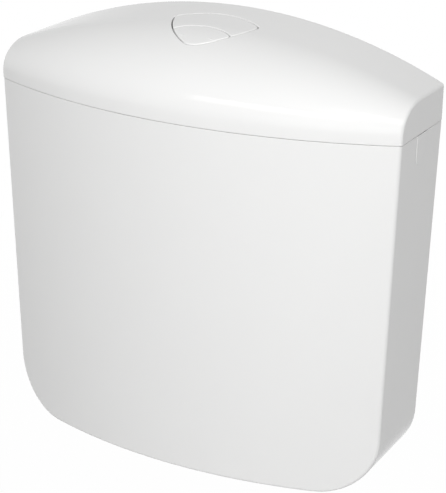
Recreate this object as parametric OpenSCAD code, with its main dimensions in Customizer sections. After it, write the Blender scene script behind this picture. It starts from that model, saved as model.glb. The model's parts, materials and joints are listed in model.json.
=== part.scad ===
// Low-level toilet cistern, hung on a wall, with a lift-off lid and a dual-flush button.
// The origin is on the wall, midway between the two hanging screws. The front faces -Y and up is +Z.
// All lengths are in millimetres.

/* [Tank] */
// Width of the tank at its rim
tank_w = 444; // [425:1:460]
// Height of the tank from its underside to its rim
tank_h = 371; // [350:1:400]
// Depth of the tank's side walls at the rim
side_depth = 98.5; // [94:0.5:110]
// How far the front wall bows out at its middle
front_bow = 48.5; // [44:0.5:55]
// Thickness of the tank's walls
wall = 3; // [2.5:0.1:4]
// Thickness of the tank's floor
floor_t = 4; // [3:0.1:6]
// Lean of the sides and of the front, in degrees
draft = 1.5; // [1:0.1:2]
// Radius of the two bottom corners
corner_r = 61; // [50:1:75]
// Height of the rim above the hanging screws
hang_drop = 60; // [54:1:70]
// Distance between the hanging screws
hang_spacing = 250; // [230:1:270]
// Radius of the screw's bore in a hanging grommet
hang_bore_r = 4.25; // [3.5:0.05:5]
// Radius of a hanging grommet's neck
grommet_r = 7; // [6.5:0.1:9]
// Thickness of the insulation liner
liner_t = 6; // [4:0.5:8]
// Height of the liner's top below the hanging screws
liner_drop = 22; // [18:1:40]

/* [Side inlets] */
// Distance of the side inlets from the wall
notch_y = 49; // [44:1:54]
// Depth of an inlet notch below the rim
notch_depth = 31; // [28:1:44]
// Radius of a notch's round bottom
notch_r = 10.2; // [10:0.1:13]
// Width of a notch at the rim
notch_top_w = 21; // [20.6:0.1:26]
// Radius of the inlet shank's thread, G 3/8
shank_r = 8.33; // [7:0.01:9]
// Length of bare thread outside the lock nut
shank_end = 10; // [8:0.5:14]
// Width of the inlet lock nut across its flats
inlet_nut_w = 24; // [23:0.5:27]

/* [Lid] */
// How far the lid stands out past the tank's rim
lid_overhang = 0.5; // [0.3:0.1:2]
// Height of the lid's back edge at its two ends
lid_end_h = 36; // [32:0.5:42]
// How far the lid's back edge arches up at its middle
lid_crown = 48.5; // [44:0.5:54]
// Fall of the lid's top towards the front at its middle, in mm for each mm
lid_fall = 0.12; // [0.08:0.01:0.16]
// Distance from the wall at which the lid's shoulder starts
shoulder_y = 60; // [54:1:66]
// Height of the lid's upright front skirt
skirt_h = 9; // [6:0.5:12]
// Thickness of the lid's wall
lid_wall = 3; // [2.5:0.1:4]
// Depth of the lid's locating lip below the rim
lip_depth = 6; // [4:0.5:8]
// Thickness of the locating lip
lip_t = 2; // [1.5:0.1:3]
// Gap between the lip and the tank's wall
lip_gap = 0.6; // [0.4:0.1:1]

/* [Buttons] */
// Half of the width between the button's two rear corners
button_half_w = 47.5; // [45:0.5:50]
// Distance of the rear corners from the wall
button_corner_y = 46.5; // [45:0.5:48]
// Distance from the wall at which the two front sides would meet in a sharp corner
button_front_y = 102; // [100:0.5:106]
// Radius of the button's three arched sides
button_arc_r = 78; // [74:0.5:84]
// Rounding of the button's rear corners
button_round = 7; // [5:0.5:9]
// Rounding of the button's front corner
button_nose = 20; // [14:0.5:24]
// Distance from the wall of the middle of the line between the two buttons
split_y = 66.5; // [64:0.5:68]
// Radius of the line between the two buttons
split_r = 52; // [48:0.5:58]
// Gap around each button
button_gap = 1; // [0.8:0.1:1.4]
// Thickness of a button's top
button_t = 3; // [2.5:0.1:4]
// Thickness of a button's skirt
button_skirt_t = 2.2; // [1.6:0.1:3]
// Height of the buttons' lower edge above the rim
button_low = 54; // [52:0.5:57]
// Travel of each button
press_travel = 7; // [5:0.5:8]
// Radius of a button's guide stem
stem_r = 4.2; // [4:0.1:4.6]
// Height of the button frame's top above the rim
frame_h = 43; // [40:0.5:45]
// Thickness of the button frame's plate
frame_t = 3; // [2.5:0.1:4]
// Length of a guide sleeve below the frame's top
sleeve_l = 15; // [12:0.5:18]
// Wall of a guide sleeve
sleeve_t = 2.4; // [1.6:0.1:3]
// Radius of a push pin
push_pin_r = 2.5; // [2:0.1:3]
// Radius of the springs' wire
wire_r = 0.55; // [0.4:0.05:0.65]
// Turns of a full-flush button spring
full_turns = 6; // [4:0.5:6]
// Turns of a half-flush button spring
half_turns = 4.5; // [3:0.5:5]

/* [Levers] */
// Depth of the lever pivots below the rim
pivot_drop = 31; // [28:1:36]
// Sideways distance of each lever from the valve's axis
lever_x = 15; // [14.5:0.1:16]
// Distance of a push point from the valve's axis, front to back
push_off = 20; // [19:0.1:21]
// Arm of a lever on the button's side
push_arm = 12; // [11:0.1:13]
// Arm of a lever on the valve's side
lift_arm = 18; // [17:0.1:19]
// Width of a lever's bar
lever_w = 6; // [5:0.1:7]
// Radius of a lever's pads
pad_r = 3; // [2.5:0.1:3.5]
// Radius of the lever pins
lever_pin_r = 2; // [1.5:0.1:2.5]
// Radius of the lift rods
rod_r = 2.5; // [2:0.1:2.8]
// Radius of the lift rods' heads
rod_head_r = 5.5; // [5:0.1:6]

/* [Flush valve] */
// Height of the pocket in the tank's floor that takes the outlet
pocket_h = 30; // [20:1:36]
// Radius of that pocket
pocket_r = 46.5; // [44.5:0.5:47]
// Distance of the valve's axis from the wall
valve_y = 62; // [60:0.5:64]
// Radius of the flush pipe's socket
socket_r = 25.15; // [22:0.05:26]
// Depth of the flush pipe's socket
socket_depth = 25; // [18:1:30]
// Radius of the valve's throat
throat_r = 23; // [19:0.5:24]
// Radius of the outlet's threaded neck
neck_r = 30; // [29:0.1:32]
// Length of the neck below the pocket's floor
neck_drop = 38; // [34:1:46]
// Radius of the valve seat's flange
flange_r = 38; // [37:0.5:42]
// Thickness of the seat's gasket
gasket_t = 3; // [2:0.1:4]
// Height of the valve basket
basket_h = 84; // [70:1:100]
// Radius of the valve disc
disc_r = 29; // [27.5:0.1:30]
// Outer radius of the overflow tube
tube_r = 12; // [11:0.1:12.5]
// Wall of the overflow tube
tube_t = 2; // [1.2:0.1:3]
// Outer radius of the flush floats
float_r = 24; // [20:0.5:25]
// Height of the full-flush float
full_float_h = 50; // [40:1:60]
// Height of the half-flush float
half_float_h = 40; // [30:1:50]
// Distance of the tower's rails from the valve's axis
rail_x = 30; // [30:0.5:34]

/* [Fill valve] */
// Distance of the fill valve's outlet from the inlet carrier
fill_reach = 50; // [44:1:56]
// Radius of the fill valve's chamber
chamber_r = 17; // [16:0.5:19]
// Radius of the fill valve's outlet nozzle
nozzle_r = 7; // [6:0.1:8]
// Height of the discharge tube's end above the tank's underside
discharge_end = 60; // [45:1:120]
// Length of the float lever's long arm
float_arm = 48; // [44:1:52]
// Height of the float lever's short arm
pilot_arm = 12; // [10:0.5:13]
// Angle by which the float drops when the tank is empty, in degrees
float_drop = 10; // [6:0.5:11]
// Width of the float
float_w = 46; // [38:1:46]
// Height of the float
float_h = 44; // [36:1:50]

/* [Hidden] */
$fn = 64;

// Clearances
running_gap = 0.05;
loose_gap = 0.3;
touch_gap = 0.1;
over = 1;

// Colours
white_plastic = [0.95, 0.95, 0.94];
liner_white = [0.88, 0.9, 0.92];
pale_grey = [0.72, 0.74, 0.76];
mid_grey = [0.5, 0.52, 0.55];
dark_grey = [0.2, 0.21, 0.23];
blue_plastic = [0.2, 0.42, 0.68];
green_plastic = [0.3, 0.6, 0.4];
rubber = [0.1, 0.1, 0.11];
steel = [0.78, 0.78, 0.77];

// Tank levels and the bow of its front
rim_z = hang_drop;
floor_z = rim_z - tank_h;
inner_floor_z = floor_z + floor_t;
valve_floor_z = floor_z + pocket_h;
valve_inner_z = valve_floor_z + floor_t;
half_w = tank_w / 2;
lean = tan(draft);
bow_r = (half_w * half_w + front_bow * front_bow) / (2 * front_bow);
bow_y = bow_r - side_depth - front_bow;
full_depth = side_depth + 2 * front_bow;
corner_steps = 20;
outlet_gap = 1;
gasket_gap = 0.5;
grommet_flange_t = 2;
grommet_flange_w = 4;

// Half width of the tank at height z, moved in by a wall
function side_x(z, inset) = half_w - (rim_z - z) * lean - inset / cos(draft);

// Radius of the bowed front at height z, moved in by a wall
function front_r(z, inset) = bow_r - (rim_z - z) * lean - inset / cos(draft);

// One bottom corner of the tank's front view, from the side down to the floor
function corner_arc(inset, low) =
    let (r = corner_r - inset, cx = side_x(low, inset) + r * lean - r / cos(draft))
    [for (i = [0 : corner_steps]) let (a = -draft - (90 - draft) * i / corner_steps)
        [cx + r * cos(a), low + r + r * sin(a)]];

function mirrored(points) = [for (i = [len(points) - 1 : -1 : 0]) [-points[i][0], points[i][1]]];

// The tank's outer shape moved in by inset, with its floor at low and its top at high
module tank_form(inset, low, high, back) {
    right = concat([[side_x(high, inset), high]], corner_arc(inset, low));
    intersection() {
        translate([0, -back, 0])
            rotate([90, 0, 0])
                linear_extrude(full_depth)
                    polygon(concat(right, mirrored(right)));
        translate([0, bow_y, low - over])
            cylinder(r1 = front_r(low - over, inset), r2 = front_r(high + over, inset),
                h = high - low + 2 * over, $fn = 256);
    }
}

// A short slice of the tank's shape near its rim
module rim_form(inset, low, high, back) {
    intersection() {
        translate([0, -back, 0])
            rotate([90, 0, 0])
                linear_extrude(full_depth)
                    polygon([[-side_x(low, inset), low], [side_x(low, inset), low],
                        [side_x(high, inset), high], [-side_x(high, inset), high]]);
        translate([0, bow_y, low - over])
            cylinder(r1 = front_r(low - over, inset), r2 = front_r(high + over, inset),
                h = high - low + 2 * over, $fn = 256);
    }
}

// Side inlets. A notch's own frame has x out of the wall and z up the leaning wall from the rim.
notch_low = notch_depth - notch_r;
inlet_x = half_w - notch_low * sin(draft);
inlet_z = rim_z - notch_low * cos(draft);
insert_gap = 0.2;
insert_slack = 0.05;
insert_bead_t = 0.35;
insert_bead_w = 0.6;
insert_flange_t = 1.5;
insert_flange_w = 3;
insert_flange_drop = 1.5;
notch_blend = 0.1;
boss_r = notch_r + 1;
boss_neck_r = notch_r - 1;
boss_stand = 3.2;
boss_clear = 0.5;
boss_depth = 5;
boss_out = inlet_x + boss_stand;
boss_in = inlet_x - wall - boss_depth;
washer_t = 1.5;
washer_inset = 0.6;
inlet_nut_t = 8;
nut_face = boss_out + washer_t + inlet_nut_t;
relief_l = 1.5;
relief_depth = 1;
shank_tip = nut_face + relief_l + shank_end;
shank_gap = 0.27;

module on_side(s) {
    mirror([s < 0 ? 1 : 0, 0, 0])
        translate([half_w, 0, rim_z])
            rotate([0, draft, 0])
                children();
}

// A notch's outline, grown by a width, as a prism between two distances from the wall's face
module notch_prism(grow, top, x_in, x_out) {
    foot = notch_r - notch_blend + grow;
    head = notch_top_w / 2 + grow;
    translate([x_in, 0, 0])
        rotate([90, 0, 90])
            linear_extrude(x_out - x_in)
                union() {
                    translate([-notch_y, -notch_low])
                        circle(notch_r + grow);
                    translate([-notch_y, 0])
                        polygon([[-foot, -notch_low], [foot, -notch_low], [head, top], [-head, top]]);
                }
}

// The plate that fills a notch, with a flange inside and a thin bead outside
module notch_insert(s) {
    inner = -wall - insert_slack;
    flange_top = -lip_depth - insert_flange_drop;
    on_side(s) {
        notch_prism(-insert_gap, -loose_gap, inner - insert_slack, 2 * insert_slack);
        notch_prism(insert_bead_w, -loose_gap, insert_slack, insert_slack + insert_bead_t);
        notch_prism(insert_flange_w, flange_top, inner - insert_flange_t, inner);
    }
}

// A cylinder along X on the inlet's axis, on the left side, between two distances from the middle
module inlet_rod(r, from, to) {
    translate([-to, -notch_y, inlet_z])
        rotate([0, 90, 0])
            cylinder(r = r, h = to - from);
}

module tank() {
    color(white_plastic)
        difference() {
            union() {
                difference() {
                    tank_form(0, floor_z, rim_z, 0);
                    tank_form(wall, inner_floor_z, rim_z + over, wall);
                }
                translate([0, -valve_y, floor_z])
                    cylinder(r = pocket_r + wall, h = pocket_h + floor_t);
            }
            translate([0, -valve_y, floor_z - over])
                cylinder(r = pocket_r, h = pocket_h + over);
            for (s = [-1, 1]) {
                translate([s * hang_spacing / 2, over, 0])
                    rotate([90, 0, 0])
                        cylinder(r = grommet_r + running_gap, h = wall + 2 * over);
                on_side(s)
                    notch_prism(0, over, -wall - over, over);
            }
            translate([0, -valve_y, valve_floor_z - over])
                cylinder(r = neck_r + outlet_gap, h = floor_t + 2 * over);
        }
}

// A foam box inside the tank, open at the top and round the outlet's pocket
module insulation_liner() {
    outer = wall + loose_gap;
    inner = outer + liner_t;
    color(liner_white)
        difference() {
            tank_form(outer, inner_floor_z, -liner_drop, outer);
            tank_form(inner, inner_floor_z + liner_t, -liner_drop + over, inner);
            translate([0, -valve_y, floor_z])
                cylinder(r = pocket_r + wall + loose_gap, h = floor_t + liner_t + over);
        }
}

module hanging_grommets() {
    color(pale_grey)
        for (s = [-1, 1])
            translate([s * hang_spacing / 2, 0, 0])
                rotate([90, 0, 0])
                    difference() {
                        union() {
                            cylinder(r = grommet_r, h = wall + grommet_flange_t);
                            translate([0, 0, wall])
                                cylinder(r = grommet_r + grommet_flange_w, h = grommet_flange_t);
                        }
                        translate([0, 0, -over])
                            cylinder(r = hang_bore_r, h = wall + grommet_flange_t + 2 * over);
                    }
}

module side_inlet_blank() {
    color(white_plastic)
        notch_insert(1);
}

module inlet_carrier() {
    color(white_plastic)
        difference() {
            union() {
                notch_insert(-1);
                inlet_rod(boss_neck_r, boss_in, boss_out);
                inlet_rod(boss_r, inlet_x + boss_clear, boss_out);
                inlet_rod(boss_r, boss_in, inlet_x - wall - boss_clear);
            }
            inlet_rod(shank_r + shank_gap, boss_in - over, boss_out + over);
        }
}

module inlet_washer() {
    color(rubber)
        difference() {
            inlet_rod(boss_r - washer_inset, boss_out, boss_out + washer_t);
            inlet_rod(shank_r + shank_gap, boss_out - over, boss_out + washer_t + over);
        }
}

module inlet_locknut() {
    color(pale_grey)
        difference() {
            translate([-nut_face, -notch_y, inlet_z])
                rotate([0, 90, 0])
                    cylinder(r = inlet_nut_w / 2 / cos(30), h = inlet_nut_t, $fn = 6);
            inlet_rod(shank_r + running_gap, nut_face - inlet_nut_t - over, nut_face + over);
        }
}

// Fill valve. Its own frame has its origin where the shank's axis meets the outlet's axis.
fill_x = boss_in - fill_reach;
shank_flange_t = 4;
chamber_in = -13;
chamber_out = 12;
neck_out = 18;
chamber_neck_r = chamber_r - 2;
barrel_r = shank_r + 2.5;
seat_bore_r = 4.5;
seat_tube_r = 6.5;
cavity_r = chamber_r - 5;
cavity_back = 2;
seat_rise_gap = 0.5;
nozzle_t = 1.8;
nozzle_roof = 1.5;
diaphragm_t = 2;
cap_r = chamber_r + 2;
cap_gap = 0.2;
cap_boss_r = 6;
cap_room_inset = 4;
cap_room_h = 3;
bleed_r = 0.8;
strainer_l = 24;
strainer_slot = 2;
strainer_t = 0.9;
strainer_end_t = 1.5;
strainer_margin = 4;
cap_back = nozzle_r + 2.5;
cap_face = 26;
cap_boss = 30;
plunger_r = 2;
plunger_head_r = 3.5;
plunger_head_t = 2;
plunger_travel = pilot_arm * sin(float_drop);
plunger_tip = cap_boss + 5;
pilot_pad_r = 2.5;
pilot_x = plunger_tip - plunger_travel + pilot_pad_r + touch_gap;
ear_in = 7;
ear_t = 2.5;
ear_r = 5.6;
ear_root = 5;
float_pin_r = 2;
float_pin_end = 1;
float_hub_r = 5;
float_hub_gap = 0.4;
pilot_pad_inset = 3;
float_boss_t = 3.5;
float_bar_w = 8;
float_bar_h = 6;
float_boss_h = 10;
float_top = 16;
float_skin = 1.6;
screw_r = 3;
screw_grip = 9;
screw_up = 7;
screw_head_t = 4;
screw_head_w = 3;
screw_boss_t = 3;
screw_boss_l = 14;
screw_boss_up = 5;
nozzle_end = chamber_r + 15;
discharge_t = 2;
discharge_gap = 1.5;

module at_fill() {
    translate([-fill_x, -notch_y, inlet_z])
        children();
}

// A cylinder along X in the fill valve's frame
module fill_rod(r, from, to) {
    translate([from, 0, 0])
        rotate([0, 90, 0])
            cylinder(r = r, h = to - from);
}

module fill_valve_body() {
    color(pale_grey)
        difference() {
            union() {
                inlet_rod(shank_r, boss_in - over, nut_face);
                inlet_rod(shank_r - relief_depth, nut_face - over, shank_tip - shank_end + over);
                inlet_rod(shank_r, shank_tip - shank_end, shank_tip);
                inlet_rod(boss_r, boss_in - shank_flange_t, boss_in);
                at_fill() {
                    fill_rod(chamber_r, chamber_in, chamber_out);
                    fill_rod(chamber_neck_r, chamber_out - over, neck_out);
                    translate([0, 0, -nozzle_end])
                        cylinder(r = nozzle_r, h = nozzle_end);
                }
                inlet_rod(barrel_r, fill_x - chamber_in - over, boss_in - shank_flange_t + over);
            }
            inlet_rod(seat_bore_r, fill_x - neck_out - over, shank_tip + over);
            at_fill() {
                difference() {
                    fill_rod(cavity_r, cavity_back, neck_out + over);
                    fill_rod(seat_tube_r, 0, neck_out - seat_rise_gap);
                }
                translate([0, 0, -nozzle_end - over])
                    cylinder(r = nozzle_r - nozzle_t, h = nozzle_end + over - seat_tube_r - nozzle_roof);
            }
        }
}

module inlet_strainer() {
    tip = shank_tip - over;
    back = tip - strainer_l;
    color(white_plastic)
        difference() {
            inlet_rod(seat_bore_r - touch_gap, back, tip);
            inlet_rod(seat_bore_r - touch_gap - strainer_t, back + strainer_end_t, tip + over);
            for (turn = [0, 90])
                translate([-tip + strainer_margin, -notch_y, inlet_z])
                    rotate([turn, 0, 0])
                        translate([0, -strainer_slot / 2, -seat_bore_r])
                            cube([strainer_l - 2 * strainer_margin, strainer_slot, 2 * seat_bore_r]);
        }
}

module fill_diaphragm() {
    color(rubber)
        at_fill()
            difference() {
                fill_rod(chamber_neck_r, neck_out, neck_out + diaphragm_t);
                fill_rod(bleed_r, neck_out - over, neck_out + diaphragm_t + over);
            }
}

// Cap that holds the diaphragm, with two ears for the float lever
module fill_valve_cap() {
    bed = neck_out + diaphragm_t;
    color(mid_grey)
        at_fill()
            difference() {
                union() {
                    fill_rod(cap_r, cap_back, cap_face);
                    fill_rod(cap_boss_r, cap_face - over, cap_boss);
                    for (s = [-1, 1])
                        translate([0, s * (ear_in + ear_t / 2), -pilot_arm]) {
                            translate([cap_face - ear_root, -ear_t / 2, touch_gap - ear_r])
                                cube([pilot_x - cap_face + ear_root, ear_t, 2 * (ear_r - touch_gap)]);
                            translate([pilot_x, ear_t / 2, 0])
                                rotate([90, 0, 0])
                                    cylinder(r = ear_r, h = ear_t);
                        }
                }
                fill_rod(chamber_r + cap_gap, cap_back - over, chamber_out + cap_gap);
                fill_rod(chamber_neck_r + loose_gap, chamber_out, bed);
                fill_rod(chamber_neck_r - cap_room_inset, bed - over, bed + cap_room_h);
                fill_rod(plunger_r + running_gap, bed, cap_boss + over);
                translate([pilot_x, ear_in + ear_t + over, -pilot_arm])
                    rotate([90, 0, 0])
                        cylinder(r = float_pin_r + running_gap, h = 2 * (ear_in + ear_t + over));
            }
}

module discharge_tube() {
    low = floor_z + discharge_end;
    high = inlet_z - chamber_r - discharge_gap;
    color(pale_grey)
        translate([-fill_x, -notch_y, low])
            difference() {
                cylinder(r = nozzle_r + discharge_t, h = high - low);
                translate([0, 0, -over])
                    cylinder(r = nozzle_r + running_gap, h = high - low + 2 * over);
            }
}

module float_lever_pin() {
    reach = ear_in + ear_t + float_pin_end;
    color(steel)
        at_fill()
            translate([pilot_x, reach, -pilot_arm])
                rotate([90, 0, 0])
                    cylinder(r = float_pin_r, h = 2 * reach);
}

module pilot_plunger() {
    color(white_plastic)
        at_fill() {
            fill_rod(plunger_r, neck_out + diaphragm_t + plunger_travel + touch_gap, plunger_tip - over);
            fill_rod(plunger_head_r, plunger_tip - plunger_head_t, plunger_tip);
        }
}

// The float lever's frame: its pin at the origin, dropped as in an empty tank
module float_pose() {
    at_fill()
        translate([pilot_x, 0, -pilot_arm])
            rotate([0, float_drop, 0])
                children();
}

// A cylinder along Y, centred on the float lever's middle
module cross_rod(x, z, r, w) {
    translate([x, w / 2, z])
        rotate([90, 0, 0])
            cylinder(r = r, h = w);
}

module float_lever() {
    hub_w = 2 * (ear_in - float_hub_gap);
    color(dark_grey)
        float_pose()
            difference() {
                union() {
                    cross_rod(0, 0, float_hub_r, hub_w);
                    cross_rod(0, pilot_arm, pilot_pad_r, hub_w - pilot_pad_inset);
                    translate([-float_bar_w / 4, -float_bar_w / 2, 0])
                        cube([float_bar_w / 2, float_bar_w, pilot_arm]);
                    translate([0, -float_bar_w / 2, -float_bar_h / 2])
                        cube([float_arm, float_bar_w, float_bar_h]);
                    translate([float_arm, 0, -float_boss_h / 2])
                        cylinder(r = screw_r + float_boss_t, h = float_boss_h);
                }
                cross_rod(0, 0, float_pin_r + running_gap, hub_w + 2 * over);
                translate([float_arm, 0, -float_boss_h / 2 - over])
                    cylinder(r = screw_r + running_gap, h = float_boss_h + 2 * over);
            }
}

module float_screw() {
    color(white_plastic)
        float_pose()
            translate([float_arm, 0, 0]) {
                translate([0, 0, -float_top - screw_grip])
                    cylinder(r = screw_r, h = float_top + screw_grip + screw_up);
                translate([0, 0, float_boss_h / 2 + touch_gap])
                    cylinder(r = screw_r + screw_head_w, h = screw_head_t);
            }
}

// A hollow box float, open below, hung on the screw by a boss
module fill_float() {
    hollow_w = float_w - 2 * float_skin;
    color(liner_white)
        float_pose()
            translate([float_arm, 0, -float_top])
                difference() {
                    union() {
                        difference() {
                            translate([-float_w / 2, -float_w / 2, -float_h])
                                cube([float_w, float_w, float_h]);
                            translate([-hollow_w / 2, -hollow_w / 2, -float_h - over])
                                cube([hollow_w, hollow_w, float_h + over - float_skin]);
                        }
                        translate([0, 0, -screw_boss_l])
                            cylinder(r = screw_r + screw_boss_t, h = screw_boss_l + screw_boss_up);
                    }
                    translate([0, 0, -screw_grip - over])
                        cylinder(r = screw_r + running_gap, h = screw_grip + screw_boss_up + 2 * over);
                }
}

// Flush valve. Levels from the tank's floor up.
seat_flange_t = 5;
seat_z = valve_inner_z + gasket_t;
basket_z = seat_z + seat_flange_t;
lip_h = 3;
lip_w = 3.5;
seat_lip_z = basket_z + lip_h;
seal_t = 3;
disc_t = 3.5;
neck_z = valve_floor_z - neck_drop;
thread_gap = 0.2;
locknut_t = 12;
locknut_w = 9;
coupling_w = 6;
coupling_grip = 14;
coupling_base_t = 3;
lug_r = 4;
lug_sink = 1.5;
lugs = 8;
cone_h = 6;
cone_taper = 2;
coupling_lip = 0.7;
disc_room = 2.5;
guide_gap = 0.4;
basket_base_t = 5;
basket_top_t = 4;
basket_legs = 6;
leg_w = 8;
leg_sink = 1;
basket_top_inset = 1;
tower_z = basket_z + basket_h;
tower_base_t = 4;
tower_margin = 6;
tower_bore_gap = 3;
rail_w = 8;
rail_d = 12;
tube_guide_drop = 34;
tube_guide_h = 6;
tube_guide_t = 2.8;
guide_arm_gap = 1;
guide_arm_w = 8;
tapping_r = 1.75;
tapping_l = 12;
tapping_spare = 2;

// Levels of the levers, from the rim down
pivot_z = rim_z - pivot_drop;
bracket_drop = 14;
bracket_top = pivot_z - bracket_drop;
bracket_t = 3;
bracket_z = bracket_top - bracket_t;
pivot_off = push_off - push_arm;
lift_off = lift_arm - pivot_off;
rest_tilt = asin(press_travel / (2 * push_arm));
lift_rise = press_travel * lift_arm / push_arm;
cheek_gap = 0.4;
cheek_t = 2.6;
cheek_r = 6.1;
pin_end = 1;
pin_head_t = 1.2;
pin_head_w = 1;
screw_head_r = 3.6;
screw_head_h = 2.2;
lever_hub_r = 5.2;
lever_bar_drop = 2.2;
lever_bar_extra = 0.4;
fork_gap = 0.7;
fork_t = 3;
fork_root = 3.5;
fork_lap = 2.5;
pad_extra = 2;
tube_top_gap = 1.5;
tube_top = bracket_z - lift_rise - tube_top_gap;
lug_drop = 6;
lug_h = 5;
rod_lug_w = 10;
lug_ring_t = 2;
stop_ring_t = 1.8;
stop_ring_h = 2;
half_float_gap = 1;
rod_foot_w = 1.5;
float_roof_t = 3;
float_room = 54;
rod_head_z = pivot_z - lift_arm * sin(rest_tilt) + pad_r + touch_gap;
rod_head_t = 2.5;
rod_tail_step = 0.7;
rod_tail_r = rod_r - rod_tail_step;
half_float_z = bracket_z - float_room - half_float_h;
full_float_rise = 4;
full_float_z = tower_z + tower_base_t + full_float_rise;

module at_valve(turn) {
    translate([0, -valve_y, 0])
        rotate([0, 0, turn])
            children();
}

// A ring on the valve's axis between two levels
module valve_ring(r_out, r_in, low, high) {
    at_valve(0)
        translate([0, 0, low])
            difference() {
                cylinder(r = r_out, h = high - low);
                translate([0, 0, -over])
                    cylinder(r = r_in, h = high - low + 2 * over);
            }
}

module valve_seat() {
    color(pale_grey)
        at_valve(0)
            difference() {
                union() {
                    translate([0, 0, neck_z])
                        cylinder(r = neck_r, h = seat_z - neck_z + over);
                    translate([0, 0, seat_z])
                        cylinder(r = flange_r, h = seat_flange_t);
                    translate([0, 0, seat_z])
                        cylinder(r = throat_r + lip_w, h = seat_flange_t + lip_h);
                }
                translate([0, 0, neck_z - over])
                    cylinder(r = throat_r, h = seat_lip_z - neck_z + 2 * over);
                translate([0, 0, neck_z - over])
                    cylinder(r = socket_r, h = socket_depth + over);
            }
}

module seat_gasket() {
    color(rubber)
        valve_ring(flange_r, neck_r + gasket_gap, valve_inner_z, seat_z);
}

// A round nut with grip lugs
module lug_nut(r_out, r_in, low, high) {
    at_valve(0)
        difference() {
            union() {
                translate([0, 0, low])
                    cylinder(r = r_out, h = high - low);
                for (i = [0 : lugs - 1])
                    rotate([0, 0, 360 * i / lugs])
                        translate([r_out - lug_sink, 0, low])
                            cylinder(r = lug_r, h = high - low);
            }
            translate([0, 0, low - over])
                cylinder(r = r_in, h = high - low + 2 * over);
        }
}

module outlet_locknut() {
    color(mid_grey)
        lug_nut(neck_r + locknut_w, neck_r + thread_gap, valve_floor_z - locknut_t, valve_floor_z);
}

module cone_seal() {
    color(rubber)
        at_valve(0)
            translate([0, 0, neck_z])
                rotate_extrude()
                    polygon([[socket_r, 0], [neck_r, 0],
                        [neck_r - cone_taper, -cone_h], [socket_r, -cone_h]]);
}

module coupling_nut() {
    low = neck_z - cone_h - coupling_base_t;
    color(mid_grey)
        difference() {
            lug_nut(neck_r + coupling_w, socket_r + coupling_lip, low, neck_z + coupling_grip);
            at_valve(0)
                translate([0, 0, neck_z - cone_h])
                    cylinder(r = neck_r + thread_gap, h = cone_h + coupling_grip + over);
        }
}

module valve_basket() {
    leg_r = disc_r + disc_room;
    color(pale_grey)
        at_valve(0)
            difference() {
                union() {
                    translate([0, 0, basket_z])
                        cylinder(r = flange_r, h = basket_base_t);
                    for (i = [0 : basket_legs - 1])
                        rotate([0, 0, 360 * (i + 0.5) / basket_legs])
                            translate([leg_r - leg_sink, -leg_w / 2, basket_z + leg_sink])
                                cube([flange_r - basket_top_inset - leg_r, leg_w, basket_h - 2 * leg_sink]);
                    translate([0, 0, tower_z - basket_top_t])
                        cylinder(r = flange_r - basket_top_inset, h = basket_top_t);
                }
                translate([0, 0, basket_z - over])
                    cylinder(r = leg_r, h = basket_h - basket_top_t + over);
                translate([0, 0, tower_z - basket_top_t - over])
                    cylinder(r = tube_r + guide_gap, h = basket_top_t + 2 * over);
            }
}

// Two rails on a base, with a guide for the overflow tube
module valve_tower() {
    guide_z = bracket_z - tube_guide_drop;
    guide_l = rail_x - rail_w / 2 - tube_r;
    arm_in = tube_r + guide_arm_gap;
    color(pale_grey)
        at_valve(0)
            difference() {
                union() {
                    translate([0, 0, tower_z])
                        cylinder(r = rail_x + tower_margin, h = tower_base_t);
                    for (s = [-1, 1]) {
                        translate([s * rail_x - rail_w / 2, -rail_d / 2, tower_z])
                            cube([rail_w, rail_d, bracket_z - tower_z]);
                        translate([s > 0 ? arm_in : -arm_in - guide_l, -guide_arm_w / 2, guide_z])
                            cube([guide_l, guide_arm_w, tube_guide_h]);
                    }
                    translate([0, 0, guide_z])
                        cylinder(r = tube_r + tube_guide_t, h = tube_guide_h);
                }
                translate([0, 0, tower_z - over])
                    cylinder(r = tube_r + tower_bore_gap, h = tower_base_t + 2 * over);
                translate([0, 0, guide_z - over])
                    cylinder(r = tube_r + guide_gap, h = tube_guide_h + 2 * over);
                for (s = [-1, 1])
                    translate([s * rail_x, 0, bracket_z - tapping_l])
                        cylinder(r = tapping_r, h = tapping_l + over);
            }
}

// A plate on the tower's rails, with a pair of cheeks for each lever
module lever_bracket() {
    plate_x = rail_x + rail_d / 2;
    cheek_x = lever_w / 2 + cheek_gap + cheek_t / 2;
    color(mid_grey)
        difference() {
            union() {
                translate([-plate_x, -valve_y - push_off, bracket_z])
                    cube([2 * plate_x, 2 * push_off, bracket_t]);
                for (turn = [0, 180], s = [-1, 1])
                    at_valve(turn)
                        translate([lever_x + s * cheek_x - cheek_t / 2, pivot_off, 0]) {
                            translate([0, touch_gap - cheek_r, bracket_z])
                                cube([cheek_t, 2 * (cheek_r - touch_gap), pivot_z - bracket_z]);
                            translate([0, 0, pivot_z])
                                rotate([0, 90, 0])
                                    cylinder(r = cheek_r, h = cheek_t);
                        }
            }
            for (turn = [0, 180])
                at_valve(turn) {
                    translate([lever_x, -lift_off, bracket_z - over])
                        cylinder(r = rod_r + loose_gap, h = bracket_t + 2 * over);
                    translate([0, pivot_off, pivot_z])
                        rotate([0, 90, 0])
                            cylinder(r = lever_pin_r + running_gap, h = rail_x);
                    translate([rail_x, 0, bracket_z - over])
                        cylinder(r = tapping_r, h = bracket_t + 2 * over);
                }
        }
}

module bracket_screws() {
    color(steel)
        for (s = [-1, 1])
            translate([s * rail_x, -valve_y, 0]) {
                translate([0, 0, bracket_z - tapping_l + tapping_spare])
                    cylinder(r = tapping_r - running_gap, h = tapping_l - tapping_spare + bracket_t + over);
                translate([0, 0, bracket_top])
                    cylinder(r = screw_head_r, h = screw_head_h);
            }
}

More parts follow.
